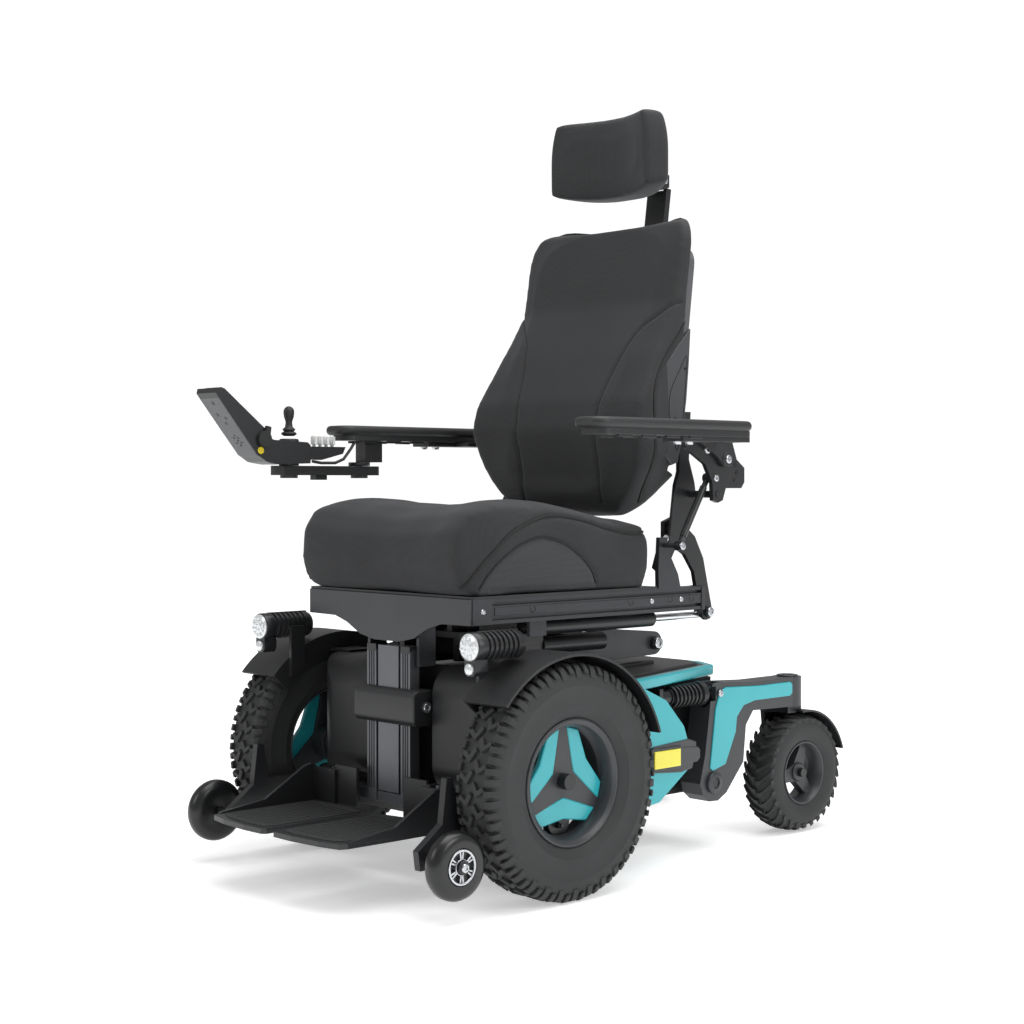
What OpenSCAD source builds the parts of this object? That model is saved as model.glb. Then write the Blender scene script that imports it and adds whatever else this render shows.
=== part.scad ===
// Power wheelchair: front-driven base, rear casters, lifting, tilting and reclining seat.
// X: user's left is +.  Y: front is -, rear is +.  Z: up, the floor is 0.
// Every module is drawn with Y measured from the drive axle, then shifted once by shift_y.

/* [Wheels] */
// Outer diameter of a drive wheel
drive_d = 355; // [296:1:426]
// Width of a drive tyre
drive_w = 82; // [68:1:98]
// Width over the drive tyres
overall_w = 652; // [600:1:720]
// Outer diameter of a caster wheel
caster_d = 210; // [176:1:240]
// Width of a caster tyre
caster_w = 65; // [54:1:72]
// Distance of a caster wheel from the middle line
caster_x = 188; // [180:1:200]
// Distance of the caster axle behind the drive axle
caster_y = 684; // [670:1:760]
// Outer diameter of a front anti-tip wheel
antitip_d = 100; // [84:1:110]
// Distance of the anti-tip axle in front of the drive axle
antitip_y = 217; // [212:1:240]

/* [Base] */
// Height of the base's top cover above the floor
cover_top = 304; // [290:1:308]
// Half width of the front motor cover
cover_half_w = 212; // [200:1:220]
// Half width of the welded chassis box
box_half_w = 150; // [140:1:156]
// Rear end of the chassis box behind the drive axle
box_end = 505; // [440:1:515]
// Height of the caster arm's pivot
arm_pivot_z = 115; // [105:1:125]

/* [Seat] */
// Height of the top of the seat rails
rail_top = 447; // [440:1:500]
// Half width over the seat rails
rail_half_w = 198; // [190:1:204]
// Front end of the seat rails before the drive axle
rail_front = 98; // [96:1:120]
// Rear end of the seat rails behind the drive axle
rail_rear = 431; // [425:1:440]
// Half width of the seat cushion
seat_half_w = 205; // [171:1:230]
// Thickness of the seat cushion at its front
seat_thick = 130; // [108:1:156]
// Length of one scissor arm of the seat lift
lift_len = 396; // [380:1:400]

/* [Back] */
// Half width of the back cushion
back_half_w = 192; // [160:1:205]
// Top of the back above the floor
back_top = 1070; // [940:1:1150]
// Lean of the back from upright
back_lean = 7.9; // [7:0.1:9]
// Height of the headrest pad
head_h = 138; // [115:1:160]
// Half width of the headrest pad
head_half_w = 125; // [105:1:135]

/* [Arms and legs] */
// Height of the top of the armrest pads
arm_top = 722; // [712:1:750]
// Length of an armrest pad
arm_len = 369; // [330:1:400]
// Width of an armrest pad
arm_w = 70; // [60:1:76]
// Distance of the armrest pad's outer edge from the middle line
arm_out = 341; // [338:1:346]
// Height of the footplates' upper face
foot_z = 106; // [100:1:112]
// Length of a footplate
foot_len = 222; // [185:1:260]
// Width of one footplate
foot_w = 155; // [130:1:160]

/* [Hidden] */
$fn = 96;
fit = 0.05;                       // running clearance on a radius
drive_r = drive_d / 2;
drive_in = overall_w / 2 - drive_w;
drive_out = overall_w / 2;
rim_r = 96;                       // drive rim's outer radius, inside the tyre
caster_r = caster_d / 2;
caster_in = caster_x - caster_w / 2;
caster_out = caster_x + caster_w / 2;
caster_rim_r = 56;
stem_y = caster_y - 17;           // swivel stem, 17 mm of trail
arm_pivot_y = 440;
beam_low = caster_d + 15;         // underside of the caster beam
beam_top = beam_low + 52;
antitip_z = antitip_d / 2 + 33;
foot_front = 104 + foot_len;
back_end = caster_y + caster_r;
shift_y = (foot_front + 1 - back_end) / 2;
rail_low = rail_top - 39;
plate_top = rail_top + 4;
lift_y = 5;                       // lower pivot of the scissor lift
lift_z = 340;
knee_rise = 7;                    // the folded arms rise by this to the knee
knee_y = lift_y + sqrt(lift_len * lift_len - knee_rise * knee_rise);
knee_z = lift_z + knee_rise;
tilt_y = 400;                     // tilt pivot of the seat
tilt_z = rail_low - 10;
rec_y = 335;                      // recline pivot of the back
rec_z = rail_top + 44;
knee_pin_y = -66;                 // elevation pivot of the legrest
knee_pin_z = 346;
foot_pin_y = -96;                 // folding pivot of the footplates
foot_pin_z = 150;
arm_pin_y = 406;                  // level-keeping pivot of the armrests, on the back
arm_pin_z = 602;
strut_dy = -6;                    // strut pivots, offset from the two back pivots
strut_dz = 27;
flip_y = 419;                     // flip-up pivot of the armrest pads
flip_z = 660;
shell_r = 445;                    // bend of the back shell, seen from above
shell_t = 12;
shell_y = 369 - sqrt(shell_r * shell_r - 192 * 192);
shell_z = 642;
joy_x = -306;                     // middle of the joystick
joy_w = 56;
joy_y = -61;                      // the stick, and the link's front pivot below it
link_y = 91;                      // rear pivot of the joystick's link
post_y = 466;                     // headrest post, before the back's lean
head_pin_y = 526;
head_pin_z = 1161;

black = [0.09, 0.09, 0.1];
dark = [0.16, 0.16, 0.17];
grey = [0.42, 0.42, 0.43];
silver = [0.75, 0.76, 0.78];
teal = [0.16, 0.7, 0.75];
fabric = [0.12, 0.12, 0.13];
rubber = [0.13, 0.13, 0.13];
white = [0.93, 0.93, 0.93];

// ---------- shape helpers ----------

module placed() {
  translate([0, shift_y, 0]) children();
}

// one side of a mirrored pair: s is 1 for the user's left and -1 for the right
module on_side(s) {
  mirror([s < 0 ? 1 : 0, 0, 0]) children();
}

module both() {
  children();
  mirror([1, 0, 0]) children();
}

module bx(x0, x1, y0, y1, z0, z1) {
  translate([x0, y0, z0]) cube([x1 - x0, y1 - y0, z1 - z0]);
}

module xc(x0, x1, y, z, r) {
  translate([x0, y, z]) rotate([0, 90, 0]) cylinder(h = x1 - x0, r = r);
}

module yc(y0, y1, x, z, r) {
  translate([x, y1, z]) rotate([90, 0, 0]) cylinder(h = y1 - y0, r = r);
}

module zc(z0, z1, x, y, r) {
  translate([x, y, z0]) cylinder(h = z1 - z0, r = r);
}

// a side outline in (y, z), drawn out along x
module slab(x0, x1, pts) {
  translate([x0, 0, 0]) rotate([90, 0, 90]) linear_extrude(height = x1 - x0) polygon(pts);
}

// a plan outline in (x, y), drawn out along z
module plan(z0, z1, pts) {
  translate([0, 0, z0]) linear_extrude(height = z1 - z0) polygon(pts);
}

// rectangle with round corners, lying in a plane
module soft_rect(u0, u1, v0, v1, r) {
  translate([u0 + r, v0]) square([u1 - u0 - 2 * r, v1 - v0]);
  translate([u0, v0 + r]) square([u1 - u0, v1 - v0 - 2 * r]);
  for (u = [u0 + r, u1 - r]) {
    for (v = [v0 + r, v1 - r]) {
      translate([u, v]) circle(r = r);
    }
  }
}

module soft_slab(x0, x1, y0, y1, z0, z1, r) {
  translate([x0, 0, 0]) rotate([90, 0, 90]) linear_extrude(height = x1 - x0)
    soft_rect(y0, y1, z0, z1, r);
}

// a ring turned about an axis along x
module xring(x, y, z) {
  translate([x, y, z]) rotate([0, 90, 0]) rotate_extrude() children();
}

// the back's own lean, about the lower edge of its shell
module lean() {
  translate([0, 369, shell_z]) rotate([-back_lean, 0, 0])
    translate([0, -369, -shell_z]) children();
}

// ---------- base ----------

module chassis_frame() {
  color(dark) placed() difference() {
    union() {
      bx(-box_half_w, box_half_w, -30, box_end, 92, 96);
      both() {
        bx(box_half_w - 4, box_half_w, -30, box_end, 96, 285);
        bx(box_half_w - 4, box_half_w, -41, -30, 112, 134);
        // ears that hold the lift's lower pivot
        bx(116, 124, -30, 40, 225, lift_z - 5);
        bx(124, box_half_w - 4, -30, 40, 225, 233);
        slab(116, 124, [[-20, lift_z - 5], [30, lift_z - 5], [22, lift_z + 14],
                        [-12, lift_z + 14]]);
        xc(92.3, 116, lift_y, lift_z, 8);
        // front carrier of the shock absorber, with its cylinder
        bx(box_half_w, 208, 310, 318, 252, 282);
        yc(318, 388, 190, 265, 12);
        yc(318, 326, 190, 265, 16);
        // stays of the side panels
        bx(box_half_w, 258, 232, 246, 150, 200);
      }
      bx(-box_half_w, box_half_w, -34, -30, 92, 300);
      bx(-box_half_w + 4, box_half_w - 4, 60, 64, 96, 285);
      bx(-box_half_w + 4, box_half_w - 4, box_end - 4, box_end, 96, 285);
      xc(-216, 216, arm_pivot_y, arm_pivot_z, 14);
    }
    both() {
      yc(328, 389, 190, 265, 6.8);
      xc(box_half_w - 5, box_half_w + 1, 0, drive_r, 30);
    }
  }
}

module cover_block(d) {
  intersection() {
    soft_slab(-cover_half_w + d, cover_half_w - d, -72 + d, 120, 138 - d, 338 - d, 46);
    translate([0, 0, 120]) linear_extrude(height = 240)
      soft_rect(-cover_half_w + d, cover_half_w - d, -72 + d, 140, 40);
  }
}

module front_cover() {
  color(black) placed() difference() {
    cover_block(0);
    difference() {
      cover_block(3);
      bx(-83, 83, -80, -37, 130, 345);
    }
    bx(-80, 80, -80, -40, 130, 345);
    bx(-130, 130, -36.9, 130, 320, 345);
    bx(-300, 300, 60, 130, 130, 345);
    both() xc(200, 220, 0, drive_r, 44);
  }
}

module top_cover() {
  color(black) placed() {
    difference() {
      plan(cover_top - 16, cover_top, [[-212, 60], [212, 60], [222, 130], [222, 257],
        [150, 510], [100, 538], [-100, 538], [-150, 510], [-222, 257], [-222, 130]]);
      plan(cover_top - 17, cover_top - 4, [[-208, 64], [208, 64],
        [218, 130], [218, 256], [147, 507], [99, 534], [-99, 534], [-147, 507],
        [-218, 256], [-218, 130]]);
    }
    // rests on the chassis walls
    both() bx(box_half_w - 4, box_half_w, 70, box_end - 10, 285, cover_top - 4);
    bx(-140, 140, box_end, box_end + 5, 130, cover_top - 4);
  }
}

module panel_shape(d) {
  difference() {
    polygon([[150, 300 - d], [199, 302 - d], [265 - d * 0.5, 273 - d], [308 - d, 228 - d * 0.5],
             [326 - d, 183], [316 - d, 155 + d * 0.5], [249 - d * 0.5, 111 + d], [150, 100 + d]]);
    translate([0, drive_r]) circle(r = 197 + d);
  }
}

module side_panels() {
  color(teal) placed() both() difference() {
    translate([223, 0, 0]) rotate([90, 0, 90]) linear_extrude(height = 39) panel_shape(0);
    translate([222, 0, 0]) rotate([90, 0, 90]) linear_extrude(height = 36) panel_shape(4);
  }
}

module battery_pack() {
  color(grey) placed() {
    for (y = [68, 247]) {
      bx(-140, 140, y, y + 172, 96, 270);
      both() zc(270, 280, 100, y + 40, 9);
    }
  }
}

module drive_motors() {
  color(dark) placed() both() {
    xc(40, box_half_w - 4, 0, drive_r, 29);
    xc(box_half_w - 4, box_half_w, 0, drive_r, 30);
    xc(box_half_w, drive_in - 12, 0, drive_r, 42);
    xc(drive_in - 12, drive_in + 66, 0, drive_r, 12);
  }
}

module fender_arc(r0, r1, a0, a1) {
  intersection() {
    difference() {
      circle(r = r1);
      circle(r = r0);
    }
    polygon([[0, 0], [400 * cos(a0), 400 * sin(a0)], [400 * cos((a0 + a1) / 2) * 1.3,
      400 * sin((a0 + a1) / 2) * 1.3], [400 * cos(a1), 400 * sin(a1)]]);
  }
}

module drive_fenders() {
  color(black) placed() both() {
    translate([drive_in - 10, 0, drive_r]) rotate([90, 0, 90]) {
      linear_extrude(height = drive_w + 10) fender_arc(drive_r + 10.5, drive_r + 14.5, 18, 139);
      linear_extrude(height = 4) fender_arc(150, drive_r + 14.5, 55, 139);
    }
    // stay on top of the motor cover, and the ear of the headlight
    bx(185, drive_in - 10, -26, 26, 338, 342);
    slab(228, drive_in - 10, [[-114, drive_r + 122.5], [-86, drive_r + 138.5], [-86, 384],
      [-114, 384]]);
    xc(drive_in - 10, 246, -100, 374, 4);
  }
}

module antitip_arms() {
  color(dark) placed() {
    both() {
      slab(228, 240, [[-42, 112], [-140, 112], [-198, 68], [-232, 68], [-236, 96],
                      [-190, 130], [-182, 195], [-170, 195], [-160, 140], [-42, 134]]);
      xc(240, 316, -antitip_y, antitip_z, 6);
      xc(314, 318, -antitip_y, antitip_z, 10);
    }
    bx(-240, 240, -57, -41, 112, 134);
  }
}

module headlight(s) {
  color(black) placed() on_side(s) difference() {
    union() {
      yc(-155, -58, 259, 384, 21.5);
      bx(247, 271, -155, -128, 344, 384);
      yc(-158.5, -155, 259, 384, 20);
      yc(-158.5, -155, 259, 352, 9);
    }
    xc(225, 246.5, -100, 374, 4 + fit);
    for (i = [0 : 5]) {
      bx(250, 290, -76 + i * -8, -72 + i * -8, 401, 410);
    }
  }
}

module antitip_wheel(s) {
  color(rubber) placed() on_side(s) difference() {
    union() {
      xring(298, -antitip_y, antitip_z) {
        translate([6, -15]) square([antitip_d / 2 - 16, 30]);
        translate([antitip_d / 2 - 12, -15]) soft_rect(0, 12, 0, 30, 5.9);
      }
    }
    xc(270, 320, -antitip_y, antitip_z, 6 + fit);
    xc(270, 284, -antitip_y, antitip_z, 10);
    xc(313, 330, -antitip_y, antitip_z, 11.5);
  }
}

// ---------- drive wheels ----------

module drive_tyre(s) {
  color(rubber) placed() on_side(s) difference() {
    union() {
      xring(drive_out - drive_w / 2, 0, drive_r) difference() {
        union() {
          translate([rim_r, -drive_w / 2 + 6]) square([drive_r - 6 - rim_r, drive_w - 12]);
          translate([rim_r + 20, 0]) soft_rect(0, drive_r - rim_r - 20, -drive_w / 2,
            drive_w / 2, min(22, (drive_r - rim_r - 20.5) / 2));
        }
      }
    }
    // rows of tread gaps around the shoulders
    for (i = [0 : 19]) {
      translate([0, 0, drive_r]) rotate([i * 18, 0, 0]) {
        bx(drive_in - 1, drive_in + 14, -5, 5, drive_r - 7, drive_r + 5);
      }
      translate([0, 0, drive_r]) rotate([i * 18 + 9, 0, 0]) {
        bx(drive_out - 14, drive_out + 1, -5, 5, drive_r - 7, drive_r + 5);
      }
    }
  }
}

module drive_rim(s) {
  color(dark) placed() on_side(s) difference() {
    union() {
      xring(drive_out - drive_w / 2, 0, drive_r) {
        translate([rim_r - 6, -drive_w / 2 + 10]) square([6, drive_w - 20]);
      }
      // three spokes and the hub
      for (i = [0 : 2]) {
        translate([drive_out - 46, 0, drive_r]) rotate([i * 120, 0, 0])
          bx(0, 14, -17, 17, 20, rim_r - 4);
      }
      xc(drive_in + 10, drive_out - 30, 0, drive_r, 32);
      // valve pocket between two spokes
      translate([drive_out - 46, 0, drive_r]) rotate([180, 0, 0])
        bx(0, 14, -24, 24, rim_r - 26, rim_r - 6);
    }
    xc(drive_in - 1, drive_in + 68, 0, drive_r, 12 + fit);
  }
}

// ---------- suspension and casters ----------

module caster_arm(s) {
  color(dark) placed() on_side(s) difference() {
    union() {
      slab(168, 212, [[406, 116], [414, 96], [430, 84], [452, 83], [474, 94], [519, 142],
        [526, 205], [545, beam_low + 3], [stem_y, beam_low], [stem_y, beam_top],
        [560, beam_top], [463, beam_top + 5], [437, beam_top + 3], [419, 164]]);
      zc(beam_low, beam_top, 190, stem_y, 25);
    }
    xc(160, 220, arm_pivot_y, arm_pivot_z, 14 + fit);
    zc(beam_low - 1, beam_top - 8, 190, stem_y, 10 + fit);
    bx(179, 201, 400, 474, 242, beam_top + 10);
    // room for the shock's spring in front of the eye
    yc(400, 446, 190, 265, 25);
  }
  color(silver) placed() on_side(s) xc(168, 214, 455, 265, 5);
}

module shock_rod(s) {
  color(silver) placed() on_side(s) difference() {
    union() {
      yc(346, 446, 190, 265, 6);
      xc(180, 200, 455, 265, 10);
      yc(424, 432, 190, 265, 21);
      difference() {
        yc(348, 424, 190, 265, 14.6);
        yc(347, 418, 190, 265, 13);
      }
      for (i = [0 : 6]) {
        translate([190, 353 + i * 11, 265]) rotate([90, 0, 0]) rotate_extrude()
          translate([17, 0]) circle(r = 2.9);
      }
    }
    xc(170, 210, 455, 265, 5 + fit);
  }
}

module caster_fork(s) {
  color(dark) placed() on_side(s) union() {
    zc(caster_d + 3, beam_top - 9, 190, stem_y, 10);
    bx(caster_in - 13, 206, stem_y - 18, stem_y + 20, caster_d + 3, beam_low - 0.3);
    slab(caster_in - 13, caster_in - 4.5, [[stem_y - 18, beam_low - 0.3],
      [stem_y + 20, beam_low - 0.3], [caster_y + 20, caster_r], [caster_y + 12, caster_r - 16],
      [caster_y - 12, caster_r - 16], [caster_y - 20, caster_r]]);
    xc(caster_in - 5, caster_out - 6, caster_y, caster_r, 8);
    // mudguard over the rear of the wheel
    translate([caster_in - 13, caster_y, caster_r]) rotate([90, 0, 90])
      linear_extrude(height = caster_w + 14) fender_arc(caster_r + 4, caster_r + 7.5, 18, 96);
    translate([caster_in - 13, caster_y, caster_r]) rotate([90, 0, 90])
      linear_extrude(height = 4) fender_arc(16, caster_r + 7.5, 18, 96);
  }
}

module caster_tyre(s) {
  color(rubber) placed() on_side(s)
    xring(caster_x, caster_y, caster_r) {
      translate([caster_rim_r, -caster_w / 2 + 5]) square([caster_r - caster_rim_r - 6,
        caster_w - 10]);
      translate([caster_rim_r + 10, 0]) soft_rect(0, caster_r - caster_rim_r - 10,
        -caster_w / 2, caster_w / 2, min(19, (caster_r - caster_rim_r - 10.5) / 2));
    }
}

module caster_rim(s) {
  color(dark) placed() on_side(s) difference() {
    union() {
      xring(caster_x, caster_y, caster_r)
        translate([caster_rim_r - 5, -caster_w / 2 + 7]) square([5, caster_w - 14]);
      for (i = [0 : 2]) {
        translate([caster_x - 4, caster_y, caster_r]) rotate([i * 120 + 20, 0, 0])
          bx(0, 20, -11, 11, 12, caster_rim_r - 3);
      }
      xc(caster_in - 3, caster_out - 8, caster_y, caster_r, 19);
    }
    xc(caster_in - 10, caster_out - 5.5, caster_y, caster_r, 8 + fit);
  }
}

// ---------- seat lift ----------

module lift_lower_arms() {
  color(grey) placed() union() {
    both() difference() {
      union() {
        slab(96, 112, [[lift_y, lift_z - 18], [lift_y, lift_z + 18], [210, 372], [300, 376],
          [knee_y, knee_z + 20], [knee_y, knee_z - 20], [200, 322]]);
        xc(96, 112, lift_y, lift_z, 18);
        xc(96, 112, knee_y, knee_z, 20);
        xc(75.7, 96, knee_y, knee_z, 8);
        xc(112, 120, knee_y, knee_z, 11);
      }
      xc(90, 113, lift_y, lift_z, 8 + fit);
    }
    // torsion tube that ties the two arms together
    xc(-96, 96, 200, 321, 10);
  }
}

module lift_upper_arms() {
  color(dark) placed() union() {
    both() difference() {
      union() {
        slab(76, 92, [[lift_y, knee_z - 9], [lift_y, knee_z + 23], [knee_y, knee_z + 16],
                      [knee_y, knee_z - 16]]);
        xc(76, 92, lift_y, knee_z + knee_rise, 16);
        xc(76, 92, knee_y, knee_z, 18);
        xc(58, 76, lift_y, knee_z + knee_rise, 8);
      }
      xc(70, 95, knee_y, knee_z, 8 + fit);
    }
    xc(-76, 76, 300, knee_z + 4, 10);
  }
}

module seat_carrier() {
  top = tilt_z - 12;
  color(dark) placed() difference() {
    union() {
      bx(-72, 72, -10, 410, top - 10, top);
      both() {
        // front pivot lugs, rear tilt lugs, rest pads
        bx(60, 72, lift_y - 16, lift_y + 16, knee_z + knee_rise - 14, top - 9);
        slab(60, 72, [[380, top - 1], [416, top - 1], [412, tilt_z + 8], [404, tilt_z + 13],
                      [392, tilt_z + 13], [386, tilt_z + 6]]);
        bx(20, 58, 22, 46, top, rail_low + 3.7);
        // actuator brackets and the two actuators
        bx(72, 120, 60, 84, top - 10, top);
        bx(120, 137, 60, 112, 350, top);
        yc(112, 256, 127, 361, 14);
      }
    }
    both() xc(50, 80, lift_y, knee_z + knee_rise, 8 + fit);
    xc(-80, 80, tilt_y, tilt_z, 8 + fit);
  }
}

// ---------- seat ----------

module rail_section() {
  difference() {
    square([25, 39]);
    // two T-slots on the outer face and a hollow middle
    for (v = [6, 28]) {
      translate([19, v]) square([7, 5]);
    }
    translate([4, 13]) square([12, 13]);
  }
}

module seat_rails() {
  color(black) placed() difference() {
    union() {
      both() {
        translate([rail_half_w - 25, rail_rear - 6, rail_low]) rotate([90, 0, 0])
          linear_extrude(height = rail_front + rail_rear - 49) rail_section();
        bx(rail_half_w - 25, rail_half_w + 1, rail_rear - 6, rail_rear, rail_low, rail_top);
        bx(rail_half_w - 25, rail_half_w + 1, -rail_front + 4, -rail_front + 43, rail_low,
          rail_top);
        // hinge bracket of the back, standing on the rail
        slab(190, rail_half_w, [[318, rail_top], [372, rail_top], [366, rail_top + 22],
          [350, rec_z + 4], [344, rec_z + 12], [338, rec_z + 40], [320, rec_z + 40],
          [317, rec_z - 10]]);
        xc(179.7, 190, rec_y, rec_z, 8);
        xc(190, 239, rec_y + strut_dy, rec_z + strut_dz, 4);
        // cheeks that carry the legrest
        bx(57, 63, -84, -50, knee_pin_z - 10, rail_low + 6);
        // tilt lugs
        slab(76, 88, [[345, rail_low + 5], [345, tilt_z - 2], [388, tilt_z - 11],
          [412, tilt_z - 11], [412, tilt_z + 8], [372, rail_low + 20], [345, rail_low + 20]]);
      }
      bx(-rail_half_w + 25, rail_half_w - 25, -84, -60, rail_low + 5, rail_top - 7);
      bx(-rail_half_w + 25, rail_half_w - 25, 20, 48, rail_low + 4, rail_top - 7);
      bx(-rail_half_w + 25, rail_half_w - 25, 340, 365, rail_low + 4, rail_top - 7);
      xc(-88, 88, tilt_y, tilt_z, 8);
      xc(-63, 63, knee_pin_y, knee_pin_z, 7);
      // front clevis of the recline actuator
      bx(138, 143.5, 48, 84, 382, rail_low + 8);
      bx(166.5, rail_half_w - 25, 48, 84, 382, rail_low + 8);
      xc(143.5, 166.5, 66, 394, 5);
    }
    both() for (y = [30, 250, 345, 398]) {
      xc(rail_half_w - 10, rail_half_w + 2, y, rail_low + 19.5, 4);
    }
  }
}

module seat_plate() {
  color(dark) placed() difference() {
    bx(-rail_half_w - 2, rail_half_w + 2, -rail_front + 4, 312, rail_top, plate_top);
    for (x = [-110 : 55 : 110]) {
      bx(x - 14, x + 14, 40, 250, rail_top - 1, plate_top + 1);
    }
  }
}

module front_plate() {
  color(grey) placed() translate([0, -rail_front + 4, 0]) rotate([90, 0, 0])
    linear_extrude(height = 4) polygon([[-198, rail_top], [-198, rail_low], [-130, rail_low - 1],
      [-100, rail_low - 10], [-66, rail_low - 27], [-30, rail_low - 34], [30, rail_low - 34],
      [66, rail_low - 27], [100, rail_low - 10], [130, rail_low - 1], [198, rail_low],
      [198, rail_top]]);
}

module seat_cushion() {
  t = plate_top + seat_thick;
  color(fabric) placed() intersection() {
    slab(-seat_half_w, seat_half_w, [[-92, plate_top], [-108, plate_top + 20],
      [-112, plate_top + 60], [-108, t - 26], [-92, t - 8], [-60, t], [0, t + 1], [60, t - 3],
      [150, t - 18], [230, t - 27], [300, t - 30], [303, t - 60], [296, t - 90],
      [283, plate_top]]);
    translate([0, 0, plate_top - 10]) linear_extrude(height = seat_thick + 40)
      soft_rect(-seat_half_w, seat_half_w, -112, 320, 40);
  }
}

module recline_tube() {
  color(black) placed() difference() {
    union() {
      yc(86, 345, 155, 394, 13);
      yc(66, 86, 155, 394, 9);
      xc(144, 166, 66, 394, 11);
    }
    yc(104, 346, 155, 394, 11);
    xc(140, 170, 66, 394, 5 + fit);
  }
}

module recline_rod() {
  color(silver) placed() difference() {
    union() {
      yc(215, 464, 155, 394 + 0.5, 6);
      xc(148.5, 161.5, 472, 400, 10);
    }
    xc(140, 170, 472, 400, 5 + fit);
  }
}

// ---------- back ----------

module back_cylinder(r) {
  zc(500, 1400, 0, shell_y, r);
}

module back_brackets() {
  color(dark) placed() union() {
    difference() {
      union() {
        both() {
          slab(180, 188, [[320, rec_z - 10], [328, rec_z - 16], [342, rec_z - 16],
            [351, rec_z - 10], [376, 520], [412, 580], [422, 600], [418, 622], [404, 660],
            [408, 740], [380, 740], [380, 640], [362, 592], [330, rec_z + 16]]);
        }
        bx(-180, 180, 380, 440, 672, 706);
      }
      both() xc(170, 189, rec_y, rec_z, 8 + fit);
      lean() back_cylinder(shell_r + 0.25);
    }
    both() {
      // lever arms that the recline actuator pushes
      slab(162, 170, [[362, 556], [392, 566], [440, 530], [462, 492], [483, 412],
        [486, 398], [480, 388], [470, 386], [460, 392], [452, 412], [438, 470], [415, 500],
        [385, 516], [362, 530]]);
      xc(170, 180, 377, 543, 9);
      // level-keeping pivot of the armrest
      xc(188, 251, arm_pin_y, arm_pin_z, 6);
    }
    xc(146, 162, 472, 400, 5);
    xc(170, 176, 472, 400, 9);
    // holder of the headrest post
    lean() difference() {
      bx(-34, 34, 400, post_y + 16, 890, 950);
      back_cylinder(shell_r + 0.25);
      bx(-23.3, 23.3, post_y - 6.3, post_y + 6.3, 880, 960);
    }
  }
}

module back_shell() {
  color(black) placed() lean() difference() {
    back_cylinder(shell_r);
    back_cylinder(shell_r - shell_t);
    bx(-600, 600, -800, shell_y + 300, 400, 1500);
    both() bx(back_half_w, 600, 0, 800, 400, 1500);
    bx(-600, 600, 0, 800, 400, 648);
    bx(-600, 600, 0, 800, back_top - 14, 1500);
  }
}

module back_cushion() {
  t = back_top;
  color(fabric) placed() intersection() {
    slab(-back_half_w + 2, back_half_w - 2, [[302, 566], [322, 562], [340, 580], [348, 600],
      [362, 640], [500, 660], [520, t], [420, t + 2], [398, t], [390, t - 20],
      [375, t - 145], [324, t - 231], [283, t - 314], [271, t - 363], [284, 640], [290, 600]]);
    lean() back_cylinder(shell_r - shell_t - 0.3);
  }
}

module headrest_post() {
  color(black) placed() difference() {
    union() {
      lean() bx(-23, 23, post_y - 6, post_y + 6, 860, 1166);
      both() slab(15, 23, [[507, 1146], [520, 1144], [538, 1150], [538, 1172], [520, 1174],
                           [510, 1168]]);
    }
    bx(-15, 15, 480, 560, 1145, 1190);
  }
  color(silver) placed() xc(-23, 23, head_pin_y, head_pin_z, 5);
}

module headrest_pad() {
  color(fabric) placed() difference() {
    union() {
      intersection() {
        difference() {
          zc(head_pin_z - 38, head_pin_z - 38 + head_h, 0, 350, 150);
          zc(head_pin_z - 40, head_pin_z + head_h, 0, 350, 100);
        }
        bx(-head_half_w, head_half_w, 362, 520, 1000, 1400);
      }
      bx(-14.5, 14.5, 490, head_pin_y, head_pin_z - 9, head_pin_z + 9);
      xc(-14.5, 14.5, head_pin_y, head_pin_z, 9);
    }
    xc(-20, 20, head_pin_y, head_pin_z, 5 + fit);
  }
}

// ---------- armrests ----------

module armrest_bracket(s) {
  color(grey) placed() on_side(s) difference() {
    union() {
      slab(242, 250, [[326, 690], [326, 678], [352, 664], [374, 652], [392, 622], [394, 592],
                      [406, 588], [418, 592], [426, 612], [466, 612], [474, 622], [474, 646],
                      [454, 660], [442, 690]]);
      xc(225, 242, arm_pin_y + strut_dy, arm_pin_z + strut_dz, 4);
      bx(234, 242, 446, 474, 614, 648);
      xc(250, 262, flip_y, flip_z, 6);
    }
    xc(200, 260, arm_pin_y, arm_pin_z, 6 + fit);
  }
}

module armrest_pad(s) {
  y1 = 400;                        // rear end, over the flip-up pivot
  y0 = y1 - arm_len;
  in = arm_out - arm_w;
  color(black) placed() on_side(s) difference() {
    union() {
      // cushion top and the stiff rail below it
      translate([0, 0, arm_top - 19]) linear_extrude(height = 19)
        soft_rect(in, arm_out, y0, y1, 26);
      translate([0, 0, arm_top - 28]) linear_extrude(height = 9)
        soft_rect(in + 8, arm_out - 8, y0 + 15, y1 - 3, 16);
      // flange and hinge cheek beside the bracket
      bx(in + 12, in + 56, 232, y1 - 6, arm_top - 36, arm_top - 28);
      bx(251, in + 12, 300, y1 - 6, arm_top - 36, arm_top - 28);
      slab(251, 259, [[340, arm_top - 28], [y1 - 6, arm_top - 28], [432, flip_z + 10],
                      [432, flip_z - 6], [424, flip_z - 12], [412, flip_z - 12], [396, 664]]);
    }
    xc(245, 270, flip_y, flip_z, 6 + fit);
    for (y = [110, 170, 230]) {
      bx(in + 6, in + 20, y, y + 26, arm_top - 27, arm_top - 20);
      bx(arm_out - 20, arm_out - 6, y, y + 26, arm_top - 27, arm_top - 20);
    }
  }
  // the joystick's hinge block hangs under the right pad only
  if (s < 0) color(dark) placed() {
    bx(joy_x - 14, joy_x + 14, link_y + 3, link_y + 41, 657, arm_top - 28);
    zc(634, 657, joy_x, link_y, 6);
    zc(650.3, 657, joy_x, link_y, 19);
  }
}

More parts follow.
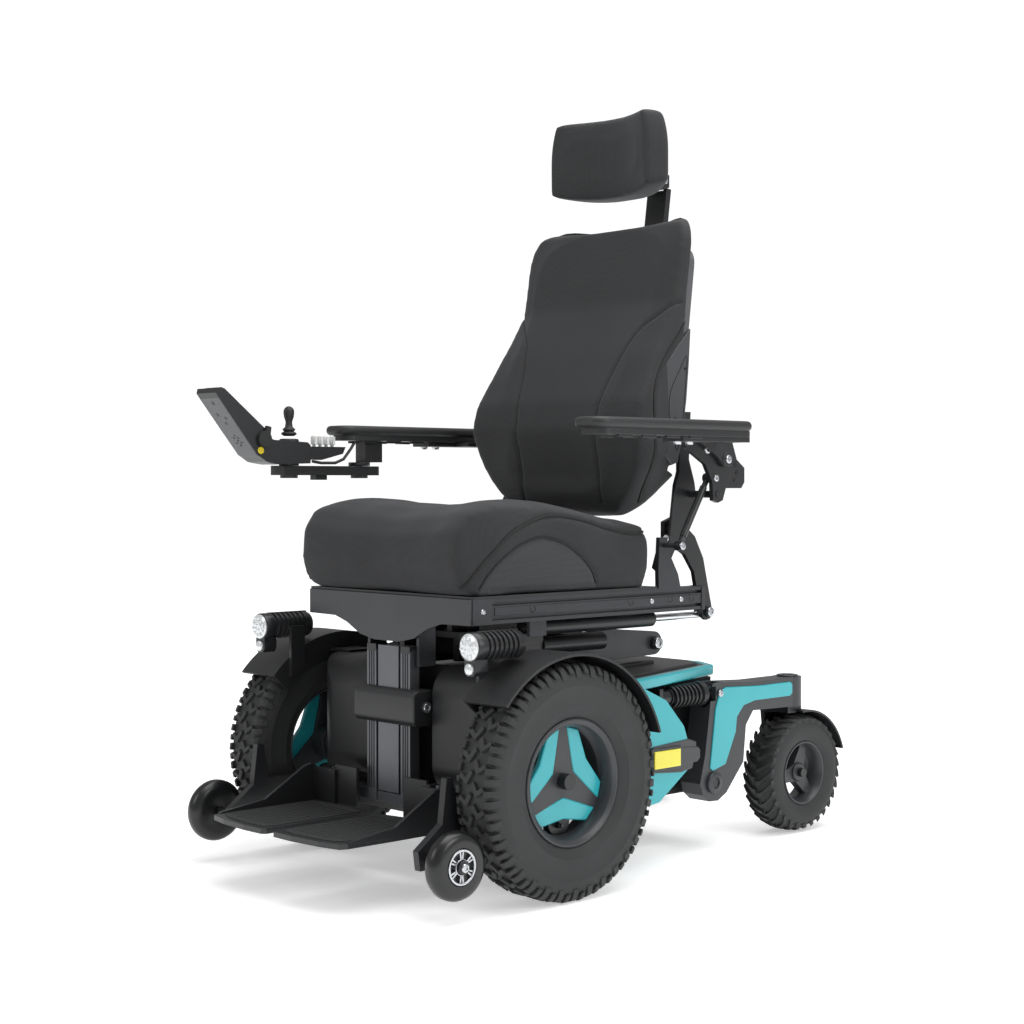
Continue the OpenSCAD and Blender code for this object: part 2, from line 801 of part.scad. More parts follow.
module armrest_strut(s) {
  p = [rec_y + strut_dy, rec_z + strut_dz];
  q = [arm_pin_y + strut_dy, arm_pin_z + strut_dz];
  a = atan2(q[1] - p[1], q[0] - p[0]);
  len = sqrt((q[1] - p[1]) * (q[1] - p[1]) + (q[0] - p[0]) * (q[0] - p[0]));
  color(black) placed() on_side(s) difference() {
    union() {
      for (e = [p, q]) {
        xc(227, 237, e[0], e[1], 8);
      }
      translate([232, p[0], p[1]]) rotate([a, 0, 0]) rotate([-90, 0, 0])
        cylinder(h = len, r = 4.6);
      translate([232, p[0], p[1]]) rotate([a, 0, 0]) rotate([-90, 0, 0])
        translate([0, 0, 18]) cylinder(h = len - 36, r = 6);
    }
    for (e = [p, q]) {
      xc(220, 245, e[0], e[1], 4 + fit);
    }
  }
}

// ---------- joystick ----------

module joystick_arm() {
  color(black) placed() difference() {
    union() {
      translate([0, 0, 634]) linear_extrude(height = 16)
        soft_rect(joy_x - 15, joy_x + 15, joy_y - 34, link_y + 40, 14);
      zc(629, 634, joy_x, link_y, 15);
      zc(629, 634, joy_x, joy_y, 15);
      bx(joy_x - 8, joy_x + 8, -10, 14, 626, 634);
    }
    zc(620, 660, joy_x, link_y, 6 + fit);
    zc(620, 660, joy_x, joy_y, 6 + fit);
  }
}

module joystick_housing() {
  x0 = joy_x - joy_w / 2;
  x1 = joy_x + joy_w / 2;
  color(black) placed() difference() {
    union() {
      slab(x0, x1, [[-211, 776], [-123, 706], [-120, 697], [-112, 693], [-42, 690], [-36, 685],
        [-36, 654], [-100, 652], [-126, 656], [-146, 668], [-184, 714], [-228, 768],
        [-226, 776]]);
      // switch box behind the joystick
      slab(x0 + 6, x1 - 6, [[-36, 662], [-8, 660], [38, 671], [44, 683], [-36, 683]]);
      // swivel plate and stem below
      zc(650.3, 654, joy_x, joy_y, 17);
      zc(630, 654, joy_x, joy_y, 6);
    }
    // well for the gimbal, bores for the paddle and the switches
    bx(joy_x - 13, joy_x + 13, joy_y - 13, joy_y + 13, 664, 700);
    xc(joy_x - 17, joy_x + 17, joy_y, 678, 3 + fit);
    xc(x1 - 8, x1 + 1, -134, 694, 4 + fit);
    for (i = [0 : 3]) {
      bx(x0 + 13, x1 - 13, -12.5 + i * 13, -3.5 + i * 13, 670, 700);
      xc(x0 + 9, x1 - 9, -8 + i * 13, 675, 1.5 + fit);
    }
  }
}

module joystick_gimbal() {
  color(grey) placed() difference() {
    union() {
      bx(joy_x - 9, joy_x + 9, joy_y - 9, joy_y + 9, 674, 682);
      xc(joy_x - 16, joy_x + 16, joy_y, 678, 3);
    }
    bx(joy_x - 5, joy_x + 5, joy_y - 5, joy_y + 5, 670, 686);
    yc(joy_y - 13, joy_y + 13, joy_x, 678, 1.5 + fit);
  }
}

module joystick_knob() {
  color(rubber) placed() union() {
    yc(joy_y - 8.5, joy_y + 8.5, joy_x, 678, 1.5);
    zc(675.5, 740, joy_x, joy_y, 3);
    // bellows in three folds, then the grip
    for (i = [0 : 2]) {
      translate([joy_x, joy_y, 698 + i * 6.5]) cylinder(h = 3, r1 = 9 - i, r2 = 14 - i * 1.5);
      translate([joy_x, joy_y, 701 + i * 6.5]) cylinder(h = 3, r1 = 14 - i * 1.5, r2 = 8);
    }
    zc(702, 740, joy_x, joy_y, 6);
    zc(724, 742, joy_x, joy_y, 8);
    translate([joy_x, joy_y, 742]) sphere(r = 8);
  }
}

module joystick_paddle() {
  x1 = joy_x + joy_w / 2;
  color(dark) placed() union() {
    xc(x1 + 0.3, x1 + 7, -134, 694, 13);
    xc(x1 - 7, x1 + 0.3, -134, 694, 4);
    slab(x1 + 0.3, x1 + 7, [[-138, 698], [-130, 716], [-122, 714], [-124, 698]]);
  }
}

module toggle(i) {
  y = -8 + (i - 1) * 13;
  color(white) placed() union() {
    bx(joy_x - 2.5, joy_x + 2.5, y - 2, y + 2, 674, 701);
    bx(joy_x - 6, joy_x + 6, y - 2.5, y + 2.5, 687, 701);
    xc(joy_x - 18.5, joy_x + 18.5, y, 675, 1.5);
  }
}

// lead from the joystick to the armrest rail
module joystick_cable() {
  p = [[-26, 657.5], [-8, 655], [22, 655.3], [40, 662], [56, 680], [64, 691.1]];
  color(black) placed() {
    for (i = [0 : 4]) {
      hull() {
        translate([joy_x + 21, p[i][0], p[i][1]]) sphere(r = 2.6, $fn = 20);
        translate([joy_x + 21, p[i + 1][0], p[i + 1][1]]) sphere(r = 2.6, $fn = 20);
      }
    }
  }
}

// ---------- legrest ----------

module legrest_post() {
  color(grey) placed() difference() {
    union() {
      bx(-25, 25, -94, -60, 136, knee_pin_z - 24);
      slab(-25, 25, [[-94, knee_pin_z - 24], [-60, knee_pin_z - 24], [-52, knee_pin_z - 10],
        [-52, knee_pin_z + 6], [-58, knee_pin_z + 12], [-82, knee_pin_z + 20],
        [-94, knee_pin_z + 20]]);
      difference() {
        soft_slab(-73, 73, -103, -58, 245, 300, 9);
        both() bx(29.7, 53.3, -94.3, -74.7, 200, 340);
      }
      xc(73, 78, -80, 274, 9);
    }
    xc(-30, 30, knee_pin_y, knee_pin_z, 7 + fit);
  }
}

module legrest_slider() {
  color(grey) placed() union() {
    both() {
      slab(30, 53, [[-94, 118], [-75, 118], [-75, 366], [-94, 358]]);
      bx(53, 131, -92, -74, 118, 134);
      slab(124, 131, [[-92, 118], [-74, 118], [-82, 156], [-90, 162], [-102, 162],
                      [-108, 150], [-98, 138], [-88, 134]]);
      xc(113.5, 124, foot_pin_y, foot_pin_z, 6);
      xc(131, 135, foot_pin_y, foot_pin_z, 9);
    }
    bx(-53, 53, -92, -74, 118, 134);
  }
}

module footplate(s) {
  x1 = 10 + foot_w;
  color(dark) placed() on_side(s) difference() {
    union() {
      plan(foot_z - 8, foot_z, [[10, -122], [10, -foot_front + 6], [16, -foot_front],
        [60, -foot_front - 1], [x1 - 45, -foot_front + 4], [x1 - 8, -foot_front + 12],
        [x1 - 2, -foot_front + 24], [x1, -218], [x1, -112], [60, -112]]);
      // heel wall and the side wall that falls towards the toe
      bx(58, 113, -112, -106, foot_z - 8, 168);
      slab(x1 - 6, x1, [[-112, foot_z - 2], [-112, 160], [-124, 166], [-140, 162],
                        [-216, foot_z + 12], [-foot_front + 26, foot_z + 2],
                        [-foot_front + 26, foot_z - 2]]);
      bx(107, x1, -118, -112, foot_z - 8, 160);
      slab(114, 121, [[-113, 120], [-105, 120], [-86, 142], [-86, 158], [-96, 163],
                      [-113, 163]]);
    }
    xc(110, 123, foot_pin_y, foot_pin_z, 6 + fit);
  }
}

// ---------- the nodes ----------

chassis_frame();
front_cover();
top_cover();
side_panels();
battery_pack();
drive_motors();
drive_fenders();
antitip_arms();
headlight(1);  // headlight_left
headlight(-1);  // headlight_right
antitip_wheel(1);  // antitip_wheel_left
antitip_wheel(-1);  // antitip_wheel_right
drive_tyre(1);  // drive_tyre_left
drive_tyre(-1);  // drive_tyre_right
drive_rim(1);  // drive_rim_left
drive_rim(-1);  // drive_rim_right
caster_arm(1);  // caster_arm_left
caster_arm(-1);  // caster_arm_right
shock_rod(1);  // shock_rod_left
shock_rod(-1);  // shock_rod_right
caster_fork(1);  // caster_fork_left
caster_fork(-1);  // caster_fork_right
caster_tyre(1);  // caster_tyre_left
caster_tyre(-1);  // caster_tyre_right
caster_rim(1);  // caster_rim_left
caster_rim(-1);  // caster_rim_right
lift_lower_arms();
lift_upper_arms();
seat_carrier();
seat_rails();
seat_plate();
front_plate();
seat_cushion();
recline_tube();
recline_rod();
back_brackets();
back_shell();
back_cushion();
headrest_post();
headrest_pad();
armrest_bracket(1);  // armrest_bracket_left
armrest_bracket(-1);  // armrest_bracket_right
armrest_pad(1);  // armrest_pad_left
armrest_pad(-1);  // armrest_pad_right
armrest_strut(1);  // armrest_strut_left
armrest_strut(-1);  // armrest_strut_right
joystick_arm();
joystick_housing();
joystick_gimbal();
joystick_knob();
joystick_paddle();
toggle(1);  // toggle_1
toggle(2);  // toggle_2
toggle(3);  // toggle_3
toggle(4);  // toggle_4
joystick_cable();
legrest_post();
legrest_slider();
footplate(1);  // footplate_left
footplate(-1);  // footplate_right
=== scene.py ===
# %% [markdown]
# # Power wheelchair: the visual model
# The measured parts of this chair are loaded as a fixed frame, in metres, with the floor
# at zero, the user's left on +X and the front on -Y. This lesson gives the hard parts
# their real finishes, and models the tyres, cushions, lamps and trims in more detail.

# %% Load the fixed frame
import bpy, bmesh, math
import numpy as np
from mathutils import Vector, Matrix, kdtree
from mathutils.bvhtree import BVHTree


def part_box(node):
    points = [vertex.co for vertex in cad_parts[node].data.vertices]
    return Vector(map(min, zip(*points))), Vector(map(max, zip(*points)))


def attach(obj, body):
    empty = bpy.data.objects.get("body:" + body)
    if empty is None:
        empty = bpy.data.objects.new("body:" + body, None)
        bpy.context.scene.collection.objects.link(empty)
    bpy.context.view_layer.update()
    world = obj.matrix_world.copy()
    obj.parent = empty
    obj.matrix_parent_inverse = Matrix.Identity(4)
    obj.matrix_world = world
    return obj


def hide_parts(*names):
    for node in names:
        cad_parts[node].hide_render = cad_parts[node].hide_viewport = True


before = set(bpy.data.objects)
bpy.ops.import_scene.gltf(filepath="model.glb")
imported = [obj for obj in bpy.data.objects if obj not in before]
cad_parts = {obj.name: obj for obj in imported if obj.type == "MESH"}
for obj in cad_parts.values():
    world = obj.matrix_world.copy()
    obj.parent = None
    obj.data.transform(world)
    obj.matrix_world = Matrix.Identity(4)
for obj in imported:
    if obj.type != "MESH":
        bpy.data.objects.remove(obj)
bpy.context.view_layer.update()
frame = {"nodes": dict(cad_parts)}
lo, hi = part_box("drive_tyre_left")
AXLE = (lo[1] + hi[1]) / 2          # where the drive axle lies along Y
print("drive axle at y", round(AXLE, 3), "nodes", len(frame["nodes"]))

# %% [markdown]
# The camera stands in front of the chair's left side, low down, as a person kneeling
# would see it. Three soft lamps and a pale sky give a studio's even light: a dark
# chair shows its shapes by the long highlights that such lamps draw on it.

# %% Camera, lamps and floor
cam = bpy.data.objects.new("camera", bpy.data.cameras.new("camera"))
bpy.context.collection.objects.link(cam)
cam.location = (2.196, -2.122, 0.623)
cam.rotation_euler = (math.radians(90 - 0.963), 0, math.radians(46.78))
cam.data.lens, cam.data.sensor_width = 63.5, 36
bpy.context.scene.camera = cam

def lamp(name, place, aim, size, watts):
    data = bpy.data.lights.new(name, "AREA")
    data.shape, data.size, data.energy = "SQUARE", size, watts
    ob = bpy.data.objects.new(name, data)
    ob.location = place
    ob.rotation_euler = (Vector(aim) - Vector(place)).to_track_quat("-Z", "Y").to_euler()
    bpy.context.collection.objects.link(ob)

lamp("softbox_top", (0.5, 0.2, 3.4), (0, 0, 0.4), 3.2, 105)
lamp("softbox_left", (3.2, 0.5, 2.0), (0, 0, 0.6), 1.6, 38)
lamp("softbox_front", (-1.2, -3.2, 2.2), (0, 0, 0.6), 1.6, 22)
world = bpy.data.worlds.new("studio")
bpy.context.scene.world = world
world.use_nodes = True
world.node_tree.nodes["Background"].inputs["Color"].default_value = (1, 1, 1, 1)
world.node_tree.nodes["Background"].inputs["Strength"].default_value = 0.4
wall = world.node_tree.nodes.new("ShaderNodeBackground")      # what is seen behind the chair
seen = world.node_tree.nodes.new("ShaderNodeLightPath")
choose = world.node_tree.nodes.new("ShaderNodeMixShader")
wall.inputs["Color"].default_value, wall.inputs["Strength"].default_value = (1, 1, 1, 1), 1.05
for source, goal in ((seen.outputs["Is Camera Ray"], choose.inputs[0]),
                     (world.node_tree.nodes["Background"].outputs[0], choose.inputs[1]),
                     (wall.outputs[0], choose.inputs[2]),
                     (choose.outputs[0], world.node_tree.nodes["World Output"].inputs[0])):
    world.node_tree.links.new(source, goal)
bpy.context.scene.view_settings.view_transform = "Standard"
bm = bmesh.new()
bmesh.ops.create_grid(bm, x_segments=1, y_segments=1, size=9)
floor = bpy.data.objects.new("floor", bpy.data.meshes.new("floor"))
bm.to_mesh(floor.data)
bm.free()
bpy.context.collection.objects.link(floor)

# %% [markdown]
# Every finish below is made of nodes. One function turns a colour picked on a screen
# (sRGB) into the linear value that the renderer works in, and one adds a node with its
# settings and links. Patterns use Object coordinates, which are metres here, so a
# pattern of so many millimetres has a scale of 1000 divided by that size.

# %% Colour and node helpers
def linear(code):
    parts = [int(code[i:i + 2], 16) / 255 for i in (1, 3, 5)]
    return [c / 12.92 if c <= 0.04045 else ((c + 0.055) / 1.055) ** 2.4 for c in parts] + [1]

def add(mat, kind, inputs={}, **settings):
    node = mat.node_tree.nodes.new(kind)
    for key, value in settings.items():
        setattr(node, key, value)
    for key, value in inputs.items():
        if isinstance(value, bpy.types.NodeSocket):
            mat.node_tree.links.new(value, node.inputs[key])
        else:
            node.inputs[key].default_value = value
    return node

def blank(name, **shader):
    mat = bpy.data.materials.new(name)
    mat.use_nodes = True
    surface = mat.node_tree.nodes["Principled BSDF"]
    for key, value in shader.items():
        surface.inputs[key.replace("_", " ")].default_value = value
    return mat, surface, add(mat, "ShaderNodeTexCoord").outputs["Object"]

# %% [markdown]
# Most parts of the chair are moulded, painted or anodised. Each of those finishes has the
# same build-up: a colour that drifts a little over a hand's width, a fine grain that
# breaks the highlight, and edges that are never quite sharp. The function takes the real
# sizes of all three in millimetres, and each finish then differs in its numbers.

# %% A finish with drift, grain and soft edges
def finish(name, light, dark, rough, drift=70, grain=0.9, depth=0.04, edge=0.8, swing=0.06,
           along=(1, 1, 1), dust=None, **shader):
    mat, surface, place = blank(name, **shader)
    link = mat.node_tree.links.new
    stretched = add(mat, "ShaderNodeMapping", {"Vector": place, "Scale": along}).outputs[0]
    wide = add(mat, "ShaderNodeTexNoise", {"Vector": place, "Scale": 1000 / drift, "Detail": 4})
    fine = add(mat, "ShaderNodeTexNoise", {"Vector": stretched, "Scale": 1000 / grain,
                                           "Detail": 3, "Roughness": 0.6})
    tone = add(mat, "ShaderNodeMix", {"Factor": wide.outputs["Fac"]}, data_type="RGBA")
    tone.inputs["A"].default_value, tone.inputs["B"].default_value = linear(light), linear(dark)
    colour = tone.outputs["Result"]
    if dust:
        up = add(mat, "ShaderNodeSeparateXYZ", {0: add(mat, "ShaderNodeNewGeometry").outputs["Normal"]})
        settled = add(mat, "ShaderNodeMapRange", {"Value": up.outputs["Z"], "From Min": 0.5,
                                                  "From Max": 1, "To Max": 0.16})
        film = add(mat, "ShaderNodeMix", {"Factor": settled.outputs[0], "A": colour}, data_type="RGBA")
        film.inputs["B"].default_value = linear(dust)
        colour = film.outputs["Result"]
    link(colour, surface.inputs["Base Color"])
    both = add(mat, "ShaderNodeMath", {0: wide.outputs["Fac"], 1: fine.outputs["Fac"]}, operation="ADD")
    gloss = add(mat, "ShaderNodeMapRange", {"Value": both.outputs[0], "From Max": 2,
                                            "To Min": rough - swing, "To Max": rough + swing})
    link(gloss.outputs[0], surface.inputs["Roughness"])
    round_off = add(mat, "ShaderNodeBevel", {"Radius": edge / 1000}, samples=4)
    bump = add(mat, "ShaderNodeBump", {"Height": fine.outputs["Fac"], "Normal": round_off.outputs[0],
                                       "Strength": 0.6, "Distance": depth / 1000})
    link(bump.outputs[0], surface.inputs["Normal"])
    return mat

# %% [markdown]
# The floor is a roll of white paper. It glows a little more with distance, so that it runs
# into the white behind the chair with no line between them.

# %% The floor's paper
paper, surface, place = blank("paper, matt white, seamless roll", Roughness=0.95, Emission_Strength=0.42)
surface.inputs["Emission Color"].default_value = (1, 1, 1, 1)
fibre = add(paper, "ShaderNodeTexNoise", {"Vector": place, "Scale": 1000 / 4, "Detail": 3})
white = add(paper, "ShaderNodeMix", {"Factor": fibre.outputs["Fac"]}, data_type="RGBA")
white.inputs["A"].default_value, white.inputs["B"].default_value = linear("#f7f7f7"), linear("#f3f3f3")
paper.node_tree.links.new(white.outputs["Result"], surface.inputs["Base Color"])
away = add(paper, "ShaderNodeVectorMath", {"Vector": place}, operation="LENGTH")
glow = add(paper, "ShaderNodeMapRange", {"Value": away.outputs["Value"], "From Min": 0.9, "From Max": 3.2,
                                         "To Min": 0.42, "To Max": 0.8})
paper.node_tree.links.new(glow.outputs["Result"], surface.inputs["Emission Strength"])
floor.data.materials.append(paper)

# %% [markdown]
# The covers are moulded ABS with a fine spark-eroded texture, so their highlights are wide
# and grey. The frame is steel under a powder coat, which is a little glossier and shows
# the small dimples of melted powder. Anodised aluminium is a metal still, and keeps faint
# lines along its length from extrusion. The turquoise shells are the only glossy colour.

# %% Moulded, painted and anodised finishes
MATS = {}
MATS["abs"] = finish("ABS, moulded with spark-eroded texture", "#1d1e20", "#17181a", 0.46,
                     grain=1.2, depth=0.06, dust="#4c4c4c")
MATS["rear_abs"] = finish("ABS, moulded, grey satin", "#3f4144", "#38393c", 0.46, grain=1.2)
MATS["powder"] = finish("steel, powder-coated satin black", "#202123", "#1a1b1d", 0.36, grain=2.2,
                        depth=0.05)
MATS["casting"] = finish("aluminium casting, powder-coated graphite", "#35373a", "#2e3033", 0.38,
                         grain=1.8, depth=0.05)
MATS["anodised"] = finish("aluminium extrusion, anodised charcoal", "#6a6c70", "#5c5e62", 0.38,
                          grain=0.7, depth=0.02, along=(1, 1, 0.06), Metallic=0.75)
MATS["rail"] = finish("aluminium extrusion, anodised black", "#424447", "#38393c", 0.34, grain=0.7,
                      depth=0.02, along=(1, 0.05, 1), Metallic=0.55)
MATS["teal"] = finish("ABS, painted gloss turquoise", "#27a6ae", "#229ca5", 0.3, grain=3.0,
                      depth=0.01, swing=0.03, Coat_Weight=0.35, Coat_Roughness=0.12)
MATS["steel"] = finish("steel, bright zinc plated", "#c9cbce", "#b2b5b9", 0.26, drift=12, grain=0.8,
                       depth=0.02, Metallic=1.0)
MATS["rod"] = finish("steel, ground and polished", "#d8dadc", "#c6c8cb", 0.16, drift=30, grain=0.5,
                     depth=0.01, along=(1, 0.1, 1), swing=0.03, Metallic=1.0)
MATS["spring"] = finish("spring steel, black coated", "#1c1d1f", "#141517", 0.3, grain=1.5)
MATS["battery"] = finish("polypropylene battery case, moulded", "#3a3d42", "#303338", 0.55)
MATS["white"] = finish("acetal, moulded white", "#f0f0ee", "#e4e5e4", 0.35, grain=2.0, depth=0.02,
                       Subsurface_Weight=0.05)
MATS["shell"] = finish("polycarbonate, moulded satin black", "#232426", "#1c1d1f", 0.4, grain=1.0,
                       depth=0.05, dust="#505050")
MATS["shell_grey"] = finish("polycarbonate, moulded light grey", "#56585b", "#4c4e51", 0.5, grain=1.0)
MATS["yellow"] = finish("polypropylene, moulded yellow", "#e8d42a", "#dcc620", 0.4, grain=2.0)
MATS["band"] = finish("polyester tape, printed amber", "#f0b51e", "#e4a414", 0.45, grain=1.2)
MATS["urethane"] = finish("polyurethane, cast black", "#151617", "#101112", 0.3, grain=3.0, depth=0.03)
MATS["stick"] = finish("silicone rubber, moulded black", "#202123", "#1a1b1c", 0.55, grain=1.0)
MATS["lead"] = finish("PVC, extruded black", "#1f2022", "#191a1b", 0.42, grain=1.4)
MATS["foam"] = finish("polyurethane skin foam, moulded black", "#222325", "#1c1d1e", 0.52, grain=1.6,
                      depth=0.12, edge=2.0, dust="#484848")
print("finishes so far:", len(MATS))

# %% [markdown]
# Tyre rubber is carbon black with a bloom that turns it grey, and the mould leaves a very
# fine sand finish. The cover of the cushions is a polyester knit in melange yarn: single
# threads are about half a millimetre, too fine to show from two metres, so the knit is
# drawn at 2.6 mm and shallow. It has a soft sheen at glancing angles. The stitched and
# piped edges are a tighter, darker cloth.

# %% Rubber and cloth
MATS["tyre"] = finish("rubber, moulded, carbon black", "#2c2d2e", "#232425", 0.66, drift=45, grain=1.1,
                      depth=0.14, edge=0.7, dust="#3e3e3e")
MATS["mat"] = finish("rubber sheet, ribbed grey", "#2b2c2d", "#232425", 0.72, drift=30, grain=1.6,
                     depth=0.3)

def knit(name, light, dark, rough, thread, depth, sheen):
    mat, surface, place = blank(name, Sheen_Weight=sheen, Sheen_Roughness=0.45)
    surface.inputs["Sheen Tint"].default_value = linear("#8a8c90")
    link = mat.node_tree.links.new
    loops = add(mat, "ShaderNodeTexVoronoi", {"Vector": place, "Scale": 1000 / thread,
                                              "Randomness": 0.35}, feature="F1")
    melange = add(mat, "ShaderNodeTexNoise", {"Vector": place, "Scale": 1000 / 5, "Detail": 5,
                                              "Roughness": 0.7})
    wide = add(mat, "ShaderNodeTexNoise", {"Vector": place, "Scale": 1000 / 120, "Detail": 2})
    tone = add(mat, "ShaderNodeMix", {"Factor": melange.outputs["Fac"]}, data_type="RGBA")
    tone.inputs["A"].default_value, tone.inputs["B"].default_value = linear(light), linear(dark)
    # painted shade: the knit colour darkens towards the hollows between the loops, where the bump sinks, with
    # a slight painted highlight on the loop tops
    shade = add(mat, "ShaderNodeMapRange", {"Value": loops.outputs["Distance"], "From Max": 0.7,
                                            "To Min": 1.12, "To Max": 0.72})
    yarn = add(mat, "ShaderNodeMix", {"Factor": 1, "A": tone.outputs["Result"]},
               data_type="RGBA", blend_type="MULTIPLY")
    link(shade.outputs[0], yarn.inputs["B"])
    link(yarn.outputs["Result"], surface.inputs["Base Color"])
    worn = add(mat, "ShaderNodeMapRange", {"Value": wide.outputs["Fac"], "To Min": rough - 0.08,
                                           "To Max": rough + 0.06})
    link(worn.outputs[0], surface.inputs["Roughness"])
    bump = add(mat, "ShaderNodeBump", {"Height": loops.outputs["Distance"], "Strength": 0.5,
                                       "Distance": depth / 1000})
    bump.invert = True
    link(bump.outputs[0], surface.inputs["Normal"])
    return mat

MATS["cover"] = knit("polyester knit, charcoal melange", "#27282a", "#1e1f20", 0.8, 2.6, 0.25, 0.35)
MATS["gusset"] = knit("polyester knit, tight, graphite", "#37393b", "#2e3032", 0.76, 2.2, 0.2, 0.3)
MATS["piping"] = knit("polyester braid, black", "#0f1010", "#0a0b0b", 0.7, 1.6, 0.2, 0.1)

# %% [markdown]
# The lamps have a clear polycarbonate lens over a bright reflector, and the side
# reflectors are moulded acrylic with a prism pattern on the inside, about 4 mm to a cell.

# %% Lens and prism finishes
def prism(name, code, cell, depth, **shader):
    mat, surface, place = blank(name, **shader)
    cells = add(mat, "ShaderNodeTexVoronoi", {"Vector": place, "Scale": 1000 / cell,
                                              "Randomness": 0.1}, feature="F1")
    tone = add(mat, "ShaderNodeMix", {"Factor": cells.outputs["Distance"]}, data_type="RGBA")
    tone.inputs["A"].default_value = linear(code)
    tone.inputs["B"].default_value = [c * 0.7 for c in linear(code)[:3]] + [1]
    mat.node_tree.links.new(tone.outputs["Result"], surface.inputs["Base Color"])
    bump = add(mat, "ShaderNodeBump", {"Height": cells.outputs["Distance"], "Strength": 0.7,
                                       "Distance": depth / 1000})
    mat.node_tree.links.new(bump.outputs[0], surface.inputs["Normal"])
    return mat

MATS["reflector"] = prism("acrylic, moulded yellow prism", "#f2e63c", 4.0, 0.3, Roughness=0.18,
                          Coat_Weight=0.6)
MATS["lens"] = prism("polycarbonate, moulded clear over reflector", "#e9ecee", 6.0, 0.7,
                     Roughness=0.12, Metallic=0.35, Coat_Weight=0.7)

# %% [markdown]
# The hard parts that come with the frame keep their shape. Each takes the finish that
# suits what it is made of, on the slots that its mesh already has.

# %% Finishes on the fixed parts
PLAIN = {
    "abs": ["front_cover", "top_cover", "drive_fenders"],
    "powder": ["chassis_frame", "antitip_arms", "drive_motors", "back_brackets", "seat_carrier",
               "lift_upper_arms", "seat_plate", "caster_fork_left", "caster_fork_right",
               "recline_tube", "armrest_strut_left", "armrest_strut_right", "headrest_post",
               "armrest_bracket_left", "armrest_bracket_right"],
    "casting": ["lift_lower_arms", "front_plate", "caster_arm_left", "caster_arm_right",
                "caster_rim_left", "caster_rim_right"],
    "anodised": ["legrest_post", "legrest_slider"],
    "rail": ["seat_rails"],
    "teal": ["side_panels"],
    "battery": ["battery_pack"],
    "rod": ["recline_rod"],
    "shell": ["joystick_housing", "joystick_arm", "joystick_gimbal", "footplate_left",
              "footplate_right"],
    "stick": ["joystick_knob", "joystick_paddle"],
    "white": ["toggle_1", "toggle_2", "toggle_3", "toggle_4"],
    "lead": ["joystick_cable"],
}
for key, names in PLAIN.items():
    for name in names:
        ob = frame["nodes"][name] if isinstance(frame["nodes"], dict) else bpy.data.objects[name]
        ob = bpy.data.objects[name] if isinstance(ob, (str, dict)) else ob
        for slot in ob.material_slots:
            slot.material = MATS[key]
        if not ob.material_slots:
            ob.data.materials.append(MATS[key])
print("finished", sum(len(v) for v in PLAIN.values()), "fixed parts")

# %% [markdown]
# New pieces are drawn in millimetres, with Y measured from the drive axle, because that is
# how a wheelchair is dimensioned. The few helpers below start a shape from an operator and
# put it in place. The last one closes a piece: it merges doubled points, turns the faces
# outwards, breaks the sharp edges with a real bevel, and lets it ride on its body.

# %% Modelling helpers
def at(x, y, z):
    return Vector((x / 1000, y / 1000 + AXLE, z / 1000))

TURN = {"X": Matrix.Rotation(math.radians(90), 3, "Y"), "Y": Matrix.Rotation(math.radians(-90), 3, "X"),
        "Z": Matrix.Identity(3)}

def block(bm, x0, x1, y0, y1, z0, z1):
    verts = bmesh.ops.create_cube(bm, size=1)["verts"]
    bmesh.ops.scale(bm, verts=verts, vec=Vector((x1 - x0, y1 - y0, z1 - z0)) / 1000)
    bmesh.ops.translate(bm, verts=verts, vec=at((x0 + x1) / 2, (y0 + y1) / 2, (z0 + z1) / 2))
    return verts

def rod(bm, axis, start, end, across, r0, r1=None, sides=32):
    """A round bar along an axis; across is its place on the other two axes."""
    verts = bmesh.ops.create_cone(bm, cap_ends=True, segments=sides, radius1=r0 / 1000,
                                  radius2=(r0 if r1 is None else r1) / 1000,
                                  depth=abs(end - start) / 1000)["verts"]
    bmesh.ops.rotate(bm, verts=verts, matrix=TURN[axis])
    middle = list(across)
    middle.insert("XYZ".index(axis), (start + end) / 2)
    bmesh.ops.translate(bm, verts=verts, vec=at(*middle))
    return verts

def drawn(bm, axis, start, end, outline):
    """A flat outline on the other two axes, drawn out along one axis."""
    points = []
    for a, b in outline:
        p = [a, b]
        p.insert("XYZ".index(axis), start)
        points.append(bm.verts.new(at(*p)))
    face = bm.faces.new(points)
    step = Vector([end - start if a == axis else 0 for a in "XYZ"]) / 1000
    top = bmesh.ops.extrude_face_region(bm, geom=[face])["geom"]
    moved = [v for v in top if isinstance(v, bmesh.types.BMVert)]
    bmesh.ops.translate(bm, verts=moved, vec=step)
    return points + moved

def turned(bm, profile, centre, axis="X", steps=96, angle=360):
    """A profile of (along, radius) pairs in mm, spun about an axis through centre."""
    n = "XYZ".index(axis)
    out = Vector([0, 0, 1]) if axis != "Z" else Vector([0, 1, 0])
    line = Vector([1 if i == n else 0 for i in range(3)])
    verts = [bm.verts.new(at(*centre) + line * a / 1000 + out * r / 1000) for a, r in profile]
    edges = [bm.edges.new(pair) for pair in zip(verts, verts[1:])]
    bmesh.ops.spin(bm, geom=verts + edges, cent=at(*centre), axis=line, angle=math.radians(angle),
                   steps=steps, use_merge=angle == 360, use_duplicate=False)

